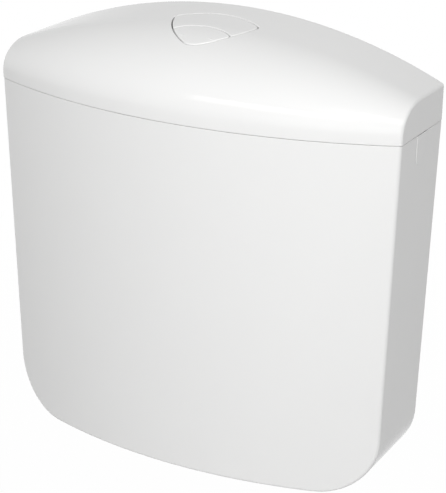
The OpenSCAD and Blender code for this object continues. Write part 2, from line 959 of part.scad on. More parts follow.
// A lever's pin, with a head on its outer end
module lever_pin(turn) {
    reach = lever_w / 2 + cheek_gap + cheek_t;
    color(steel)
        at_valve(turn)
            translate([lever_x - reach - pin_end, pivot_off, pivot_z])
                rotate([0, 90, 0]) {
                    cylinder(r = lever_pin_r, h = 2 * (reach + pin_end));
                    translate([0, 0, 2 * reach + pin_end])
                        cylinder(r = lever_pin_r + pin_head_w, h = pin_head_t);
                }
}

module full_lever_pin() {
    lever_pin(0);
}

module half_lever_pin() {
    lever_pin(180);
}

// A rod along X in a lever's frame, centred on the lever
module lever_rod(y, r, w) {
    translate([-w / 2, y, 0])
        rotate([0, 90, 0])
            cylinder(r = r, h = w);
}

// A see-saw lever: a pad under the push pin, and a fork under the lift rod's head
module lever(turn) {
    bar_top = pad_r - lever_bar_drop;
    bar_h = pad_r + lever_bar_extra;
    slot = 2 * (rod_r + fork_gap);
    fork_w = slot + 2 * fork_t;
    bar_end = lift_arm - rod_r - fork_root;
    at_valve(turn)
        translate([lever_x, pivot_off, pivot_z])
            rotate([rest_tilt, 0, 0])
                difference() {
                    union() {
                        lever_rod(0, lever_hub_r, lever_w);
                        lever_rod(push_arm, pad_r, lever_w + pad_extra);
                        lever_rod(-lift_arm, pad_r, fork_w);
                        translate([-lever_w / 2, -bar_end, bar_top - bar_h])
                            cube([lever_w, bar_end + push_arm, bar_h]);
                        translate([-fork_w / 2, -lift_arm, bar_top - bar_h])
                            cube([fork_w, lift_arm - bar_end + fork_lap, bar_h]);
                    }
                    lever_rod(0, lever_pin_r + running_gap, lever_w + 2 * over);
                    translate([-slot / 2, -lift_arm - pad_r - over, -pad_r - over])
                        cube([slot, lift_arm + pad_r + over - bar_end, 2 * pad_r + 2 * over]);
                }
}

module full_lever() {
    color(green_plastic)
        lever(0);
}

module half_lever() {
    color(blue_plastic)
        lever(180);
}

// Overflow tube with the valve disc at its foot and a lug for the lift rod at its top
module overflow_tube() {
    disc_z = seat_lip_z + seal_t;
    lug_z = tube_top - lug_drop;
    color(white_plastic)
        at_valve(0)
            difference() {
                union() {
                    translate([0, 0, seat_lip_z - over])
                        cylinder(r = tube_r, h = tube_top - seat_lip_z + over);
                    translate([0, 0, disc_z])
                        cylinder(r = disc_r, h = disc_t);
                    translate([0, 0, full_float_z - stop_ring_h])
                        cylinder(r = tube_r + stop_ring_t, h = stop_ring_h);
                    translate([0, 0, lug_z])
                        cylinder(r = tube_r + lug_ring_t, h = lug_h);
                    translate([0, -lift_off - rod_lug_w / 2, lug_z])
                        cube([lever_x + rod_lug_w / 2, rod_lug_w, lug_h]);
                }
                translate([0, 0, seat_lip_z - 2 * over])
                    cylinder(r = tube_r - tube_t, h = tube_top - seat_lip_z + 4 * over);
                translate([lever_x, -lift_off, lug_z - over])
                    cylinder(r = rod_r + running_gap, h = lug_h + 2 * over);
            }
}

module valve_seal() {
    color(rubber)
        valve_ring(disc_r, tube_r + running_gap, seat_lip_z, seat_lip_z + seal_t);
}

// A cup float round the overflow tube, open below
module cup_float(bore_r, low, height) {
    at_valve(0)
        translate([0, 0, low])
            difference() {
                cylinder(r = float_r, h = height);
                translate([0, 0, -over])
                    cylinder(r = bore_r, h = height + 2 * over);
                difference() {
                    translate([0, 0, -over])
                        cylinder(r = float_r - float_skin, h = height + over - float_roof_t);
                    translate([0, 0, -2 * over])
                        cylinder(r = bore_r + float_skin, h = height + 4 * over);
                }
            }
}

module full_float() {
    color(green_plastic)
        cup_float(tube_r + running_gap, full_float_z, full_float_h);
}

module half_float() {
    color(blue_plastic)
        difference() {
            cup_float(tube_r + half_float_gap, half_float_z, half_float_h);
            at_valve(180)
                translate([lever_x, -lift_off, half_float_z + half_float_h - float_roof_t - over])
                    cylinder(r = rod_tail_r + running_gap, h = float_roof_t + 2 * over);
        }
}

// A lift rod with a flat head, from a level up to the lever
module lift_rod(turn, low) {
    at_valve(turn)
        translate([lever_x, -lift_off, 0]) {
            translate([0, 0, low])
                cylinder(r = rod_r, h = rod_head_z - low + over);
            translate([0, 0, rod_head_z])
                cylinder(r = rod_head_r, h = rod_head_t);
        }
}

module full_lift_rod() {
    color(white_plastic) {
        lift_rod(0, tube_top - lug_drop - over);
        at_valve(0)
            translate([lever_x, -lift_off, tube_top - lug_drop - rod_head_t])
                cylinder(r = rod_r + rod_foot_w, h = rod_head_t);
    }
}

module half_lift_rod() {
    low = half_float_z + half_float_h;
    color(white_plastic) {
        lift_rod(180, low);
        at_valve(180)
            translate([lever_x, -lift_off, low - float_roof_t - over]) {
                cylinder(r = rod_tail_r, h = float_roof_t + 2 * over);
                translate([0, 0, -over])
                    cylinder(r = rod_r, h = 2 * over);
            }
    }
}

// Lid. Its back edge is an arch, and its shoulder rolls down to the bowed front.
lid_half_w = half_w + lid_overhang;
crown_r = (lid_half_w * lid_half_w + lid_crown * lid_crown) / (2 * lid_crown);
lid_steps = 36;
band_steps = 4;
shoulder_steps = 12;

function lid_rise(x) = sqrt(crown_r * crown_r - x * x) - (crown_r - lid_crown);
function lid_band_z(x, y) = lid_end_h + lid_rise(x) * (1 + lid_fall * y / lid_crown);
function lid_front_y(x) = bow_y - sqrt(pow(bow_r + lid_overhang, 2) - x * x);

// One cross section of the lid at x, moved in by inset: from its back edge over the top to its front edge
function lid_section(x, inset, drop) =
    let (reach = -lid_front_y(x) - shoulder_y - inset)
    concat([[-inset, -drop]],
        [for (i = [0 : band_steps]) let (y = -inset - (shoulder_y - inset) * i / band_steps)
            [y, lid_band_z(x, y) - inset]],
        [for (i = [1 : shoulder_steps]) let (a = 90 * i / shoulder_steps, y = -shoulder_y - reach * sin(a))
            [y, skirt_h + (lid_band_z(x, y) - inset - skirt_h) * cos(a)]],
        [[-shoulder_y - reach, -drop]]);

// Height of the lid's top above the rim at a point
function lid_top(x, y) =
    let (t = max(0, (-y - shoulder_y) / (-lid_front_y(x) - shoulder_y)))
    skirt_h + (lid_band_z(x, y) - skirt_h) * sqrt(1 - t * t);

// A solid block under the lid's top between two widths, moved in by inset
module lid_form(inset, drop, x_lo, x_hi, steps) {
    n = band_steps + shoulder_steps + 3;
    points = [for (i = [0 : steps]) let (x = x_lo + (x_hi - x_lo) * i / steps)
        for (p = lid_section(x, inset, drop)) [x, p[0], rim_z + p[1]]];
    skin = [for (i = [0 : steps - 1], j = [0 : n - 1])
        let (a = i * n + j, b = i * n + (j + 1) % n, c = (i + 1) * n + (j + 1) % n, d = (i + 1) * n + j)
        each [[a, d, c], [a, c, b]]];
    ends = [[for (j = [0 : n - 1]) j], [for (j = [n - 1 : -1 : 0]) steps * n + j]];
    polyhedron(points = points, faces = concat(skin, ends));
}

// The part of that block around the buttons
patch_half_w = button_half_w + 2 * button_round + lid_wall;
patch_steps = 12;
module lid_patch(inset) {
    lid_form(inset, over, -patch_half_w, patch_half_w, patch_steps);
}

// Button outline: three arched sides between two rear corners and a front one
side_chord = sqrt(pow(button_half_w, 2) + pow(button_front_y - button_corner_y, 2)) / 2;
side_back = sqrt(pow(button_arc_r, 2) - pow(side_chord, 2));
side_cx = button_half_w / 2 - side_back * (button_front_y - button_corner_y) / (2 * side_chord);
side_cy = -(button_front_y + button_corner_y) / 2 + side_back * button_half_w / (2 * side_chord);
back_cy = -button_corner_y - sqrt(pow(button_arc_r, 2) - pow(button_half_w, 2));

// The button's two front sides, which meet in its rounded front corner
module button_sides() {
    offset(r = button_nose)
        offset(delta = -button_nose)
            intersection() {
                translate([side_cx, side_cy])
                    circle(button_arc_r, $fn = 128);
                translate([-side_cx, side_cy])
                    circle(button_arc_r, $fn = 128);
            }
}

module button_area(grow) {
    offset(r = button_round + grow)
        offset(delta = -button_round)
            intersection() {
                translate([0, back_cy])
                    circle(button_arc_r, $fn = 128);
                button_sides();
            }
}

module full_area() {
    difference() {
        button_area(-button_gap);
        translate([0, -split_y - split_r])
            circle(split_r + button_gap / 2, $fn = 128);
    }
}

module half_area() {
    intersection() {
        button_area(-button_gap);
        translate([0, -split_y - split_r])
            circle(split_r - button_gap / 2, $fn = 128);
    }
}

// Levels of the button frame and of the guide stems
frame_top = rim_z + frame_h;
sleeve_z = frame_top - sleeve_l;
stop_gap = 0.4;
stop_z = sleeve_z - stop_gap;
stop_t = 3;
stop_w = 2;
stop_r = stem_r + stop_w;
sleeve_gap = 0.1;
spring_slack = 0.5;
spring_r = stem_r + wire_r + spring_slack;
spring_boss_w = 0.4;
spring_boss_r = spring_r + wire_r + spring_boss_w;
full_y = -valve_y + push_off;
half_y = -valve_y - push_off;
full_seat_drop = 7;
half_seat_drop = 6;
full_seat_z = rim_z + lid_top(lever_x, full_y) - button_t - full_seat_drop;
half_seat_z = rim_z + lid_top(lever_x, half_y) - button_t - half_seat_drop;
pin_tip_z = pivot_z + push_arm * sin(rest_tilt) + pad_r + touch_gap;
pin_grip = 11;
pin_bore_spare = 0.5;
collar_t = 2.2;
collar_low = 48;
frame_back = -25;
frame_front = -104;
frame_margin = 12.5;
frame_half_w = button_half_w + frame_margin;
frame_nose_inset = 1.5;
frame_nose_w = button_half_w - frame_nose_inset;
rear_screw_inset = 8;
nose_screw_inset = 6;
nose_screw_back = 10;
screw_spots = [[frame_half_w - rear_screw_inset, frame_back - rear_screw_inset],
    [frame_nose_w - nose_screw_inset, frame_front + nose_screw_back]];
screw_boss_r = 5;
frame_tapping_r = 1.6;
frame_tapping_l = 12;
web_h = 4;
tall = lid_end_h + lid_crown;

module at_screws() {
    for (spot = screw_spots, s = [-1, 1])
        translate([s * spot[0], spot[1], 0])
            children();
}

module lid() {
    lip_out = wall + lip_gap;
    lip_in = lip_out + lip_t;
    color(white_plastic)
        difference() {
            union() {
                difference() {
                    lid_form(0, 0, -lid_half_w, lid_half_w, lid_steps);
                    lid_form(lid_wall, over, lid_wall - lid_half_w, lid_half_w - lid_wall, lid_steps);
                }
                // Locating lip, and the web that joins it to the lid's wall
                difference() {
                    rim_form(-lid_overhang / 2, rim_z, rim_z + web_h, lid_wall / 2);
                    rim_form(lip_in, rim_z - over, rim_z + web_h + over, lip_in);
                }
                difference() {
                    rim_form(lip_out, rim_z - lip_depth, rim_z + over, lip_out);
                    rim_form(lip_in, rim_z - lip_depth - over, rim_z + 2 * over, lip_in);
                }
                // Collar round the buttons and the bosses of the button frame
                intersection() {
                    lid_patch(lid_wall / 2);
                    union() {
                        translate([0, 0, rim_z + collar_low])
                            linear_extrude(tall)
                                button_area(collar_t);
                        translate([0, 0, frame_top])
                            at_screws()
                                cylinder(r = screw_boss_r, h = tall);
                    }
                }
            }
            translate([0, 0, rim_z + collar_low - over])
                linear_extrude(2 * tall)
                    button_area(0);
            translate([0, 0, frame_top - over])
                at_screws()
                    cylinder(r = frame_tapping_r, h = frame_tapping_l);
        }
}

module at_stems(y) {
    for (s = [-1, 1])
        translate([s * lever_x, y, 0])
            children();
}

module button_frame() {
    sleeve_r = stem_r + sleeve_gap + sleeve_t;
    right = [[frame_nose_w, frame_front], [frame_half_w, -shoulder_y], [frame_half_w, frame_back]];
    color(pale_grey)
        difference() {
            union() {
                translate([0, 0, frame_top - frame_t])
                    linear_extrude(frame_t)
                        polygon(concat(right, mirrored(right)));
                for (y = [full_y, half_y])
                    at_stems(y)
                        translate([0, 0, sleeve_z])
                            cylinder(r = sleeve_r, h = sleeve_l);
            }
            for (y = [full_y, half_y])
                at_stems(y)
                    translate([0, 0, sleeve_z - over])
                        cylinder(r = stem_r + sleeve_gap, h = sleeve_l + 2 * over);
            translate([0, 0, frame_top - frame_t - over])
                at_screws()
                    cylinder(r = frame_tapping_r, h = frame_t + 2 * over);
        }
}

module frame_screws() {
    color(steel)
        at_screws() {
            translate([0, 0, frame_top - frame_t - screw_head_h])
                cylinder(r = screw_head_r, h = screw_head_h);
            translate([0, 0, frame_top - frame_t - over])
                cylinder(r = frame_tapping_r - running_gap, h = frame_tapping_l + over);
        }
}

// A coil spring between two levels, as one tube
turn_steps = 8;
wire_steps = 6;
function coil_mid(i, n, turns, low, high) =
    let (a = 360 * turns * i / n)
    [spring_r * cos(a), spring_r * sin(a), low + (high - low) * i / n];
function coil_gap(n, turns, low, high) =
    min([for (i = [0 : n], j = [0 : n]) if (j - i > turn_steps / 2)
        norm(coil_mid(i, n, turns, low, high) - coil_mid(j, n, turns, low, high))]) - 2 * wire_r;

module coil(turns, low, high) {
    n = turns * turn_steps;
    climb = atan((high - low) / (360 * turns * spring_r * PI / 180));
    points = [for (i = [0 : n], k = [0 : wire_steps - 1])
        let (a = 360 * turns * i / n, b = 360 * k / wire_steps)
        coil_mid(i, n, turns, low, high) + wire_r * (cos(b) * [cos(a), sin(a), 0]
            + sin(b) * [sin(climb) * sin(a), -sin(climb) * cos(a), cos(climb)])];
    skin = [for (i = [0 : n - 1], k = [0 : wire_steps - 1])
        let (a = i * wire_steps + k, b = i * wire_steps + (k + 1) % wire_steps,
            c = (i + 1) * wire_steps + (k + 1) % wire_steps, d = (i + 1) * wire_steps + k)
        each [[a, b, c], [a, c, d]]];
    ends = [[for (k = [wire_steps - 1 : -1 : 0]) k], [for (k = [0 : wire_steps - 1]) n * wire_steps + k]];
    polyhedron(points = points, faces = concat(skin, ends));
    echo(str("least gap of a spring to itself ", coil_gap(n, turns, low, high)));
}

module button_springs(y, turns, seat) {
    color(steel)
        at_stems(y)
            coil(turns, frame_top + wire_r + running_gap, seat - wire_r - running_gap);
}

module full_button_springs() {
    button_springs(full_y, full_turns, full_seat_z);
}

module half_button_springs() {
    button_springs(half_y, half_turns, half_seat_z);
}

// A button: a hollow shell under the lid's top, with two guide stems.
// The stem at pin_side takes the push pin, and the other one a stop clip.
module button(y, seat, pin_side) {
    difference() {
        union() {
            difference() {
                intersection() {
                    lid_patch(0);
                    translate([0, 0, rim_z + button_low])
                        linear_extrude(tall)
                            children();
                }
                intersection() {
                    lid_patch(button_t);
                    translate([0, 0, rim_z + button_low - over])
                        linear_extrude(tall)
                            offset(delta = -button_skirt_t)
                                children();
                }
                // Room for the springs beside the skirt
                at_stems(y)
                    translate([0, 0, rim_z + button_low - over])
                        cylinder(r = spring_r + wire_r + loose_gap, h = seat - rim_z - button_low + over);
            }
            intersection() {
                lid_patch(button_t / 2);
                at_stems(y)
                    translate([0, 0, seat])
                        cylinder(r = spring_boss_r, h = tall);
            }
            at_stems(y)
                translate([0, 0, stop_z])
                    cylinder(r = stem_r, h = seat - stop_z + over);
            translate([-pin_side * lever_x, y, stop_z - stop_t])
                cylinder(r = stem_r / 2, h = stop_t + over);
        }
        translate([pin_side * lever_x, y, stop_z - over])
            cylinder(r = push_pin_r + running_gap, h = pin_grip + over + pin_bore_spare);
    }
}

module full_button() {
    color(white_plastic)
        button(full_y, full_seat_z, 1)
            full_area();
}

module half_button() {
    color(white_plastic)
        button(half_y, half_seat_z, -1)
            half_area();
}

// A push pin, with a stop collar under its guide sleeve
module push_pin(x, y) {
    color(steel)
        translate([x, y, 0]) {
            translate([0, 0, pin_tip_z])
                cylinder(r = push_pin_r, h = stop_z + pin_grip - pin_tip_z);
            translate([0, 0, stop_z - stop_t])
                cylinder(r = stop_r, h = stop_t);
        }
}

module full_push_pin() {
    push_pin(lever_x, full_y);
}

module half_push_pin() {
    push_pin(-lever_x, half_y);
}

// A clip on the end of a plain guide stem, which stops it under its sleeve
module stop_clip(x, y) {
    color(dark_grey)
        translate([x, y, stop_z - stop_t])
            difference() {
                cylinder(r = stop_r, h = stop_t);
                translate([0, 0, -over])
                    cylinder(r = stem_r / 2 + running_gap, h = stop_t + 2 * over);
            }
}

module full_stop_clip() {
    stop_clip(-lever_x, full_y);
}

module half_stop_clip() {
    stop_clip(lever_x, half_y);
}

tank();
insulation_liner();
hanging_grommets();
side_inlet_blank();
inlet_carrier();
inlet_washer();
inlet_locknut();
fill_valve_body();
inlet_strainer();
fill_diaphragm();
fill_valve_cap();
discharge_tube();
float_lever_pin();
pilot_plunger();
float_lever();
float_screw();
fill_float();
valve_seat();
seat_gasket();
outlet_locknut();
cone_seal();
coupling_nut();
valve_basket();
valve_tower();
lever_bracket();
bracket_screws();
full_lever_pin();
half_lever_pin();
full_lever();
half_lever();
overflow_tube();
valve_seal();
full_float();
full_lift_rod();
half_float();
half_lift_rod();
lid();
button_frame();
frame_screws();
full_button_springs();
half_button_springs();
full_button();
full_push_pin();
full_stop_clip();
half_button();
half_push_pin();
half_stop_clip();
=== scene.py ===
import json
import math

import bmesh
import bpy
from mathutils import Matrix, Vector
from mathutils.geometry import delaunay_2d_cdt


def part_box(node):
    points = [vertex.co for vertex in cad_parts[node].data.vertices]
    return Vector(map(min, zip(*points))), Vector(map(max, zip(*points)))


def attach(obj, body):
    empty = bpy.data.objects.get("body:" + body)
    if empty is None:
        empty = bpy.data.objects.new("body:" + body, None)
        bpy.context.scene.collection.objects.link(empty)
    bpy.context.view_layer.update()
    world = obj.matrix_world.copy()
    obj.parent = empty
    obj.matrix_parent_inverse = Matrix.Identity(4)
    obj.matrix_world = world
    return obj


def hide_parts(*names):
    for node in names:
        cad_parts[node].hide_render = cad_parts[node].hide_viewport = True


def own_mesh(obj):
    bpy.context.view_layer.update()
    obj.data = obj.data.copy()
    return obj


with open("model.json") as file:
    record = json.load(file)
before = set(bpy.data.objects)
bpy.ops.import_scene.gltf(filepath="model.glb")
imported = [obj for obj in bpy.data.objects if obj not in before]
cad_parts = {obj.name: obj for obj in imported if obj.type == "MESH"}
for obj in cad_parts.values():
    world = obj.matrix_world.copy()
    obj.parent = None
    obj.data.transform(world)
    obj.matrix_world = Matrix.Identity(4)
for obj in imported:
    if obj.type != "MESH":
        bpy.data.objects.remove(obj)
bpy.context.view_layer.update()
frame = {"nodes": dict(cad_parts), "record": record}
scene = bpy.context.scene
scene.view_settings.view_transform = "Standard"


# Camera
# The viewpoint of the photograph: to the front right of the cistern and a little above it,
# found by fitting the edges of the tank and the lid.
view_azimuth = 28.54
view_elevation = 21.48
view_roll = 0.834
view_distance = 1.66184
view_target = Vector((0.02562, -0.075, -0.08502))
view_lens = 120.43


def placed(name, data):
    """A new object in the scene."""
    made = bpy.data.objects.new(name, data)
    scene.collection.objects.link(made)
    return made


def aimed(azimuth, elevation, roll, distance):
    """Matrix of a camera or lamp that looks at the target; the angles are in degrees."""
    azimuth, elevation, roll = (math.radians(angle) for angle in (azimuth, elevation, roll))
    flat = math.cos(elevation)
    back = Vector((math.sin(azimuth) * flat, -math.cos(azimuth) * flat, math.sin(elevation)))
    level = Vector((math.cos(azimuth), math.sin(azimuth), 0))
    upright = back.cross(level)
    right = math.cos(roll) * level + math.sin(roll) * upright
    up = math.cos(roll) * upright - math.sin(roll) * level
    turn = Matrix((right, up, back)).transposed().to_4x4()
    return Matrix.Translation(view_target + back * distance) @ turn


camera_data = bpy.data.cameras.new("camera")
camera_data.lens = view_lens
camera = placed("camera", camera_data)
camera.matrix_world = aimed(view_azimuth, view_elevation, view_roll, view_distance)
scene.camera = camera


# Studio
# A pale floor far below the hung cistern and white surroundings. Two soft lamps light it from the front
# right and one from behind, and two thin strips give the streaks on the lid's shoulder.
floor_level = -1.1
floor_half = 6.0
floor_white = (0.5, 0.5, 0.5, 1)
floor_glow = 0.98
glow_from = 1.0
glow_to = 3.0
surround_light = 0.33
white = (1, 1, 1, 1)
lamp_distance = 2.2


def fed(tree, node, values):
    """Sets a node's inputs; a value that is another node's output gets linked."""
    for key, value in values.items():
        if isinstance(value, bpy.types.NodeSocket):
            tree.links.new(value, node.inputs[key])
        else:
            node.inputs[key].default_value = value


def added(tree, kind, values, **settings):
    """A new node with its settings and inputs. Returns its outputs."""
    node = tree.nodes.new(kind)
    for key, value in settings.items():
        setattr(node, key, value)
    fed(tree, node, values)
    return node.outputs


def worked(tree, operation, *values):
    """The result of a math node on numbers and other nodes' outputs."""
    return added(tree, "ShaderNodeMath", dict(enumerate(values)), operation=operation)[0]


def seen_directly(tree):
    """1 where a camera, mirror or glass ray looks, and 0 for the light that falls on things."""
    path = added(tree, "ShaderNodeLightPath", {})
    direct = worked(tree, "MAXIMUM", path["Is Camera Ray"], path["Is Glossy Ray"])
    return worked(tree, "MAXIMUM", direct, path["Is Transmission Ray"])


def new_material(name):
    """A material and its node tree."""
    made = bpy.data.materials.new(name)
    made.use_nodes = True
    return made, made.node_tree


def put(name, work, material):
    """Makes an object of a bmesh."""
    mesh = bpy.data.meshes.new(name)
    work.to_mesh(mesh)
    work.free()
    mesh.materials.append(material)
    return placed(name, mesh)


world = bpy.data.worlds.new("surroundings")
world.use_nodes = True
scene.world = world
sky = world.node_tree
sky.nodes.clear()
sky_light = added(sky, "ShaderNodeBackground", {"Color": white, "Strength": surround_light})
sky_white = added(sky, "ShaderNodeBackground", {"Color": white, "Strength": 1})
sky_mix = added(sky, "ShaderNodeMixShader", {"Fac": seen_directly(sky), 1: sky_light[0], 2: sky_white[0]})
added(sky, "ShaderNodeOutputWorld", {"Surface": sky_mix[0]})

floor_paint, paint = new_material("floor_paint")
paint.nodes.clear()
floor_matt = added(paint, "ShaderNodeBsdfDiffuse", {"Color": floor_white})
floor_lit = added(paint, "ShaderNodeEmission", {"Color": white})
floor_place = added(paint, "ShaderNodeTexCoord", {})
floor_reach = added(paint, "ShaderNodeVectorMath", {0: floor_place["Object"]}, operation="LENGTH")
floor_fade = added(paint, "ShaderNodeMapRange", {
    "Value": floor_reach["Value"], "From Min": glow_from, "From Max": glow_to,
    "To Min": floor_glow, "To Max": 1})
floor_share = worked(paint, "MULTIPLY", floor_fade["Result"], seen_directly(paint))
floor_mix = added(paint, "ShaderNodeMixShader", {"Fac": floor_share, 1: floor_matt[0], 2: floor_lit[0]})
added(paint, "ShaderNodeOutputMaterial", {"Surface": floor_mix[0]})
floor_work = bmesh.new()
bmesh.ops.create_grid(floor_work, x_segments=8, y_segments=8, size=floor_half,
                      matrix=Matrix.Translation((0, 0, floor_level)))
floor = put("floor", floor_work, floor_paint)


def soft_lamp(name, azimuth, elevation, width, height, level, mirrored):
    """A panel of light that faces the cistern; level is how bright it makes a white face turned to it."""
    data = bpy.data.lights.new(name, "AREA")
    data.shape = "RECTANGLE"
    data.size = width
    data.size_y = height
    data.energy = level * (math.pi * lamp_distance) ** 2
    lamp = placed(name, data)
    lamp.matrix_world = aimed(azimuth, elevation, 0, lamp_distance)
    lamp.visible_glossy = mirrored


# name, azimuth, elevation, width, height, level, and whether gloss shows it
soft_lamp("right_lamp", 28, 50, 0.8, 0.8, 0.28, False)
soft_lamp("front_lamp", 26, 12, 2.0, 1.0, 0.46, False)
soft_lamp("back_lamp", 195, -8, 1.6, 0.9, 0.28, False)
soft_lamp("strip_lamp", -4, 37, 1.45, 0.30, 0.09, True)
soft_lamp("right_strip", 33, 51, 0.45, 0.30, 0.034, True)


# Tank
# The body is one injection-moulded shell of glossy white ABS, open at the top, with a bowed front,
# leaning sides, a flat back for the wall, and a pocket in its floor that takes the outlet.
tank_low, tank_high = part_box("tank")
rim_z = tank_high.z
floor_z = tank_low.z
half_w = tank_high.x
side_depth = 0.0985
front_bow = -tank_low.y - side_depth
tank_wall = 0.003
tank_floor = 0.004
tank_draft = math.radians(1.5)
tank_lean = math.tan(tank_draft)
corner_r = 0.061
bow_r = (half_w ** 2 + front_bow ** 2) / (2 * front_bow)
bow_y = bow_r - side_depth - front_bow
front_edge_r = 0.0026
back_edge_r = 0.0015
inner_front_r = 0.003
inner_back_r = 0.001
rim_edge_r = 0.0005
valve_y = -0.062
pocket_r = 0.0465
pocket_roof_z = floor_z + 0.030
pocket_edge_r = 0.0012
pocket_mouth = 0.001
neck_hole_r = 0.031
hang_x = 0.125
hang_hole_r = 0.00705
hang_over = 0.005
hang_cut = 0.012
notch_y = -0.049
notch_low = 0.0208
notch_r = 0.0102
notch_head = 0.0105
notch_sweep = 83
notch_steps = 24
over = 0.001
far_over = 0.01
gloss_white = (0.862, 0.862, 0.857, 1)
plastic_ior = 1.45


def new_tree(name, kind, inputs, outputs):
    """A node tree with named inputs and outputs. Returns it and what comes from its inputs."""
    tree = bpy.data.node_groups.new(name, kind)
    for side, sockets in (("INPUT", inputs), ("OUTPUT", outputs)):
        for key, socket in sockets.items():
            tree.interface.new_socket(key, in_out=side, socket_type="NodeSocket" + socket)
    return tree, added(tree, "NodeGroupInput", {})


def moulded_skin():
    """Node group: the cloudy tone, uneven gloss and fine ripple of moulded plastic."""
    group, given = new_tree("moulded_skin", "ShaderNodeTree", {
        "Colour": "Color", "Cloud": "Float", "Gloss": "Float", "Gloss Drift": "Float", "Ripple": "Float"},
        {"Colour": "Color", "Roughness": "Float", "Height": "Float"})
    spot = added(group, "ShaderNodeTexCoord", {})["Object"]
    cloud = added(group, "ShaderNodeTexNoise", {"Vector": spot, "Scale": 14, "Detail": 4})
    centred = worked(group, "SUBTRACT", cloud["Fac"], 0.5)
    tone = worked(group, "MULTIPLY_ADD", centred, given["Cloud"], 1)
    tinted = added(group, "ShaderNodeVectorMath", {0: given["Colour"], "Scale": tone}, operation="SCALE")
    spread = added(group, "ShaderNodeTexNoise", {"Vector": spot, "Scale": 45, "Detail": 3})
    gloss = worked(group, "MULTIPLY_ADD", spread["Fac"], given["Gloss Drift"], given["Gloss"])
    ripple = added(group, "ShaderNodeTexNoise", {"Vector": spot, "Scale": given["Ripple"], "Detail": 2})
    added(group, "NodeGroupOutput", {
        "Colour": tinted["Vector"], "Roughness": gloss, "Height": ripple["Fac"]})
    return group


skin_group = moulded_skin()


def moulded_plastic(name, colour, cloud, gloss, drift=0.14, ripple=240, depth=0.00004):
    """A plastic material with the moulded skin; depth is the height of its ripple in metres."""
    plastic, tree = new_material(name)
    skin = added(tree, "ShaderNodeGroup", {
        "Colour": colour, "Cloud": cloud, "Gloss": gloss, "Gloss Drift": drift, "Ripple": ripple},
        node_tree=skin_group)
    bump = added(tree, "ShaderNodeBump", {"Strength": 1, "Distance": depth, "Height": skin["Height"]})
    fed(tree, tree.nodes["Principled BSDF"], {
        "IOR": plastic_ior, "Base Color": skin["Colour"], "Roughness": skin["Roughness"],
        "Normal": bump["Normal"]})
    return plastic


white_gloss = moulded_plastic("white_gloss_plastic", gloss_white, cloud=0.02, gloss=0.10,
                              drift=0.06, ripple=60)


def solid(name, work, material=white_gloss):
    """Makes an object of a closed bmesh, whose faces get turned outwards."""
    bmesh.ops.recalc_face_normals(work, faces=work.faces)
    return put(name, work, material)


def plain(made):
    """Turns an object's modifiers into its own mesh."""
    shape = bpy.data.meshes.new_from_object(made.evaluated_get(bpy.context.evaluated_depsgraph_get()))
    old = made.data
    made.modifiers.clear()
    made.data = shape
    bpy.data.meshes.remove(old)


def joined(made, tool, operation):
    """Adds a solid to a piece, or cuts it away, and removes the tool."""
    change = made.modifiers.new("change", "BOOLEAN")
    change.operation = operation
    change.solver = "EXACT"
    change.object = tool
    plain(made)
    bpy.data.objects.remove(tool)


def smoothed(made, degrees=36):
    """Smooth shading with crease lines at the sharper edges."""
    made.data.shade_smooth()
    made.data.set_sharp_from_angle(angle=math.radians(degrees))
    made.modifiers.new("even", "WEIGHTED_NORMAL").keep_sharp = True
    plain(made)


bodies = frame["record"]["behaviour"]["bodies"]
node_body = {node: body for body, nodes in bodies.items() for node in nodes}


def stands_for(made, node):
    """The piece takes the place of a CAD node and goes with its body."""
    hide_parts(node)
    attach(made, node_body[node])


def skin_faces(work, rows):
    """Faces between neighbouring rows of points."""
    for one, two in zip(rows, rows[1:]):
        for k in range(len(one) - 1):
            work.faces.new((one[k], one[k + 1], two[k + 1], two[k]))


def loft(work, loops):
    """Faces between closed loops of the same number of points."""
    skin_faces(work, [loop + loop[:1] for loop in loops])


def turned(work, profile, place, steps):
    """A closed solid of revolution; profile holds (radius, height) from the flat low end to the top."""
    profile = [(0, profile[0][1])] + profile
    if profile[-1][0] > 0:
        profile.append((0, profile[-1][1]))
    rings = []
    for radius, height in profile:
        ring = []
        for k in range(steps if radius > 0 else 1):
            a = 2 * math.pi * k / steps
            spot = Vector((radius * math.cos(a), radius * math.sin(a), height))
            ring.append(work.verts.new(place @ spot))
        rings.append(ring)
    for low, high in zip(rings, rings[1:]):
        for k in range(steps):
            corners = [low[k % len(low)], low[(k + 1) % len(low)]]
            corners += [high[(k + 1) % len(high)], high[k % len(high)]]
            work.faces.new(list(dict.fromkeys(corners)))


def prism(work, outline, place, low, high):
    """A closed prism on a flat outline."""
    ends = [[work.verts.new(place @ Vector((u, v, level))) for u, v in outline] for level in (low, high)]
    work.faces.new(ends[0][::-1])
    work.faces.new(ends[1])
    loft(work, ends)


def side_x(z, inset):
    """Half width of the tank at a level, moved in by a wall."""
    return half_w - (rim_z - z) * tank_lean - inset / math.cos(tank_draft)


def tank_front_y(x, z, inset):
    """The bowed and leaning front, moved in by a wall."""
    radius = bow_r - (rim_z - z) * tank_lean - inset / math.cos(tank_draft)
    return bow_y - math.sqrt(radius ** 2 - x ** 2)


def side_line(low, top, inset):
    """The right half of the front view from the rim to the floor: x, z and the inward direction."""
    straight_rows = 22
    corner_rows = 20
    radius = corner_r - inset
    middle = side_x(low, inset) + radius * tank_lean - radius / math.cos(tank_draft)
    arc_z = low + radius - radius * math.sin(tank_draft)
    line = []
    for i in range(straight_rows):
        part = i / straight_rows
        z = top + (arc_z - top) * part
        line.append((side_x(z, inset), z, -math.cos(tank_draft * part), math.sin(tank_draft * part)))
    for i in range(corner_rows + 1):
        a = -tank_draft - (math.pi / 2 - tank_draft) * i / corner_rows
        out_x = math.cos(a)
        out_z = math.sin(a)
        line.append((middle + radius * out_x, low + radius + radius * out_z, -out_x, -out_z))
    return line


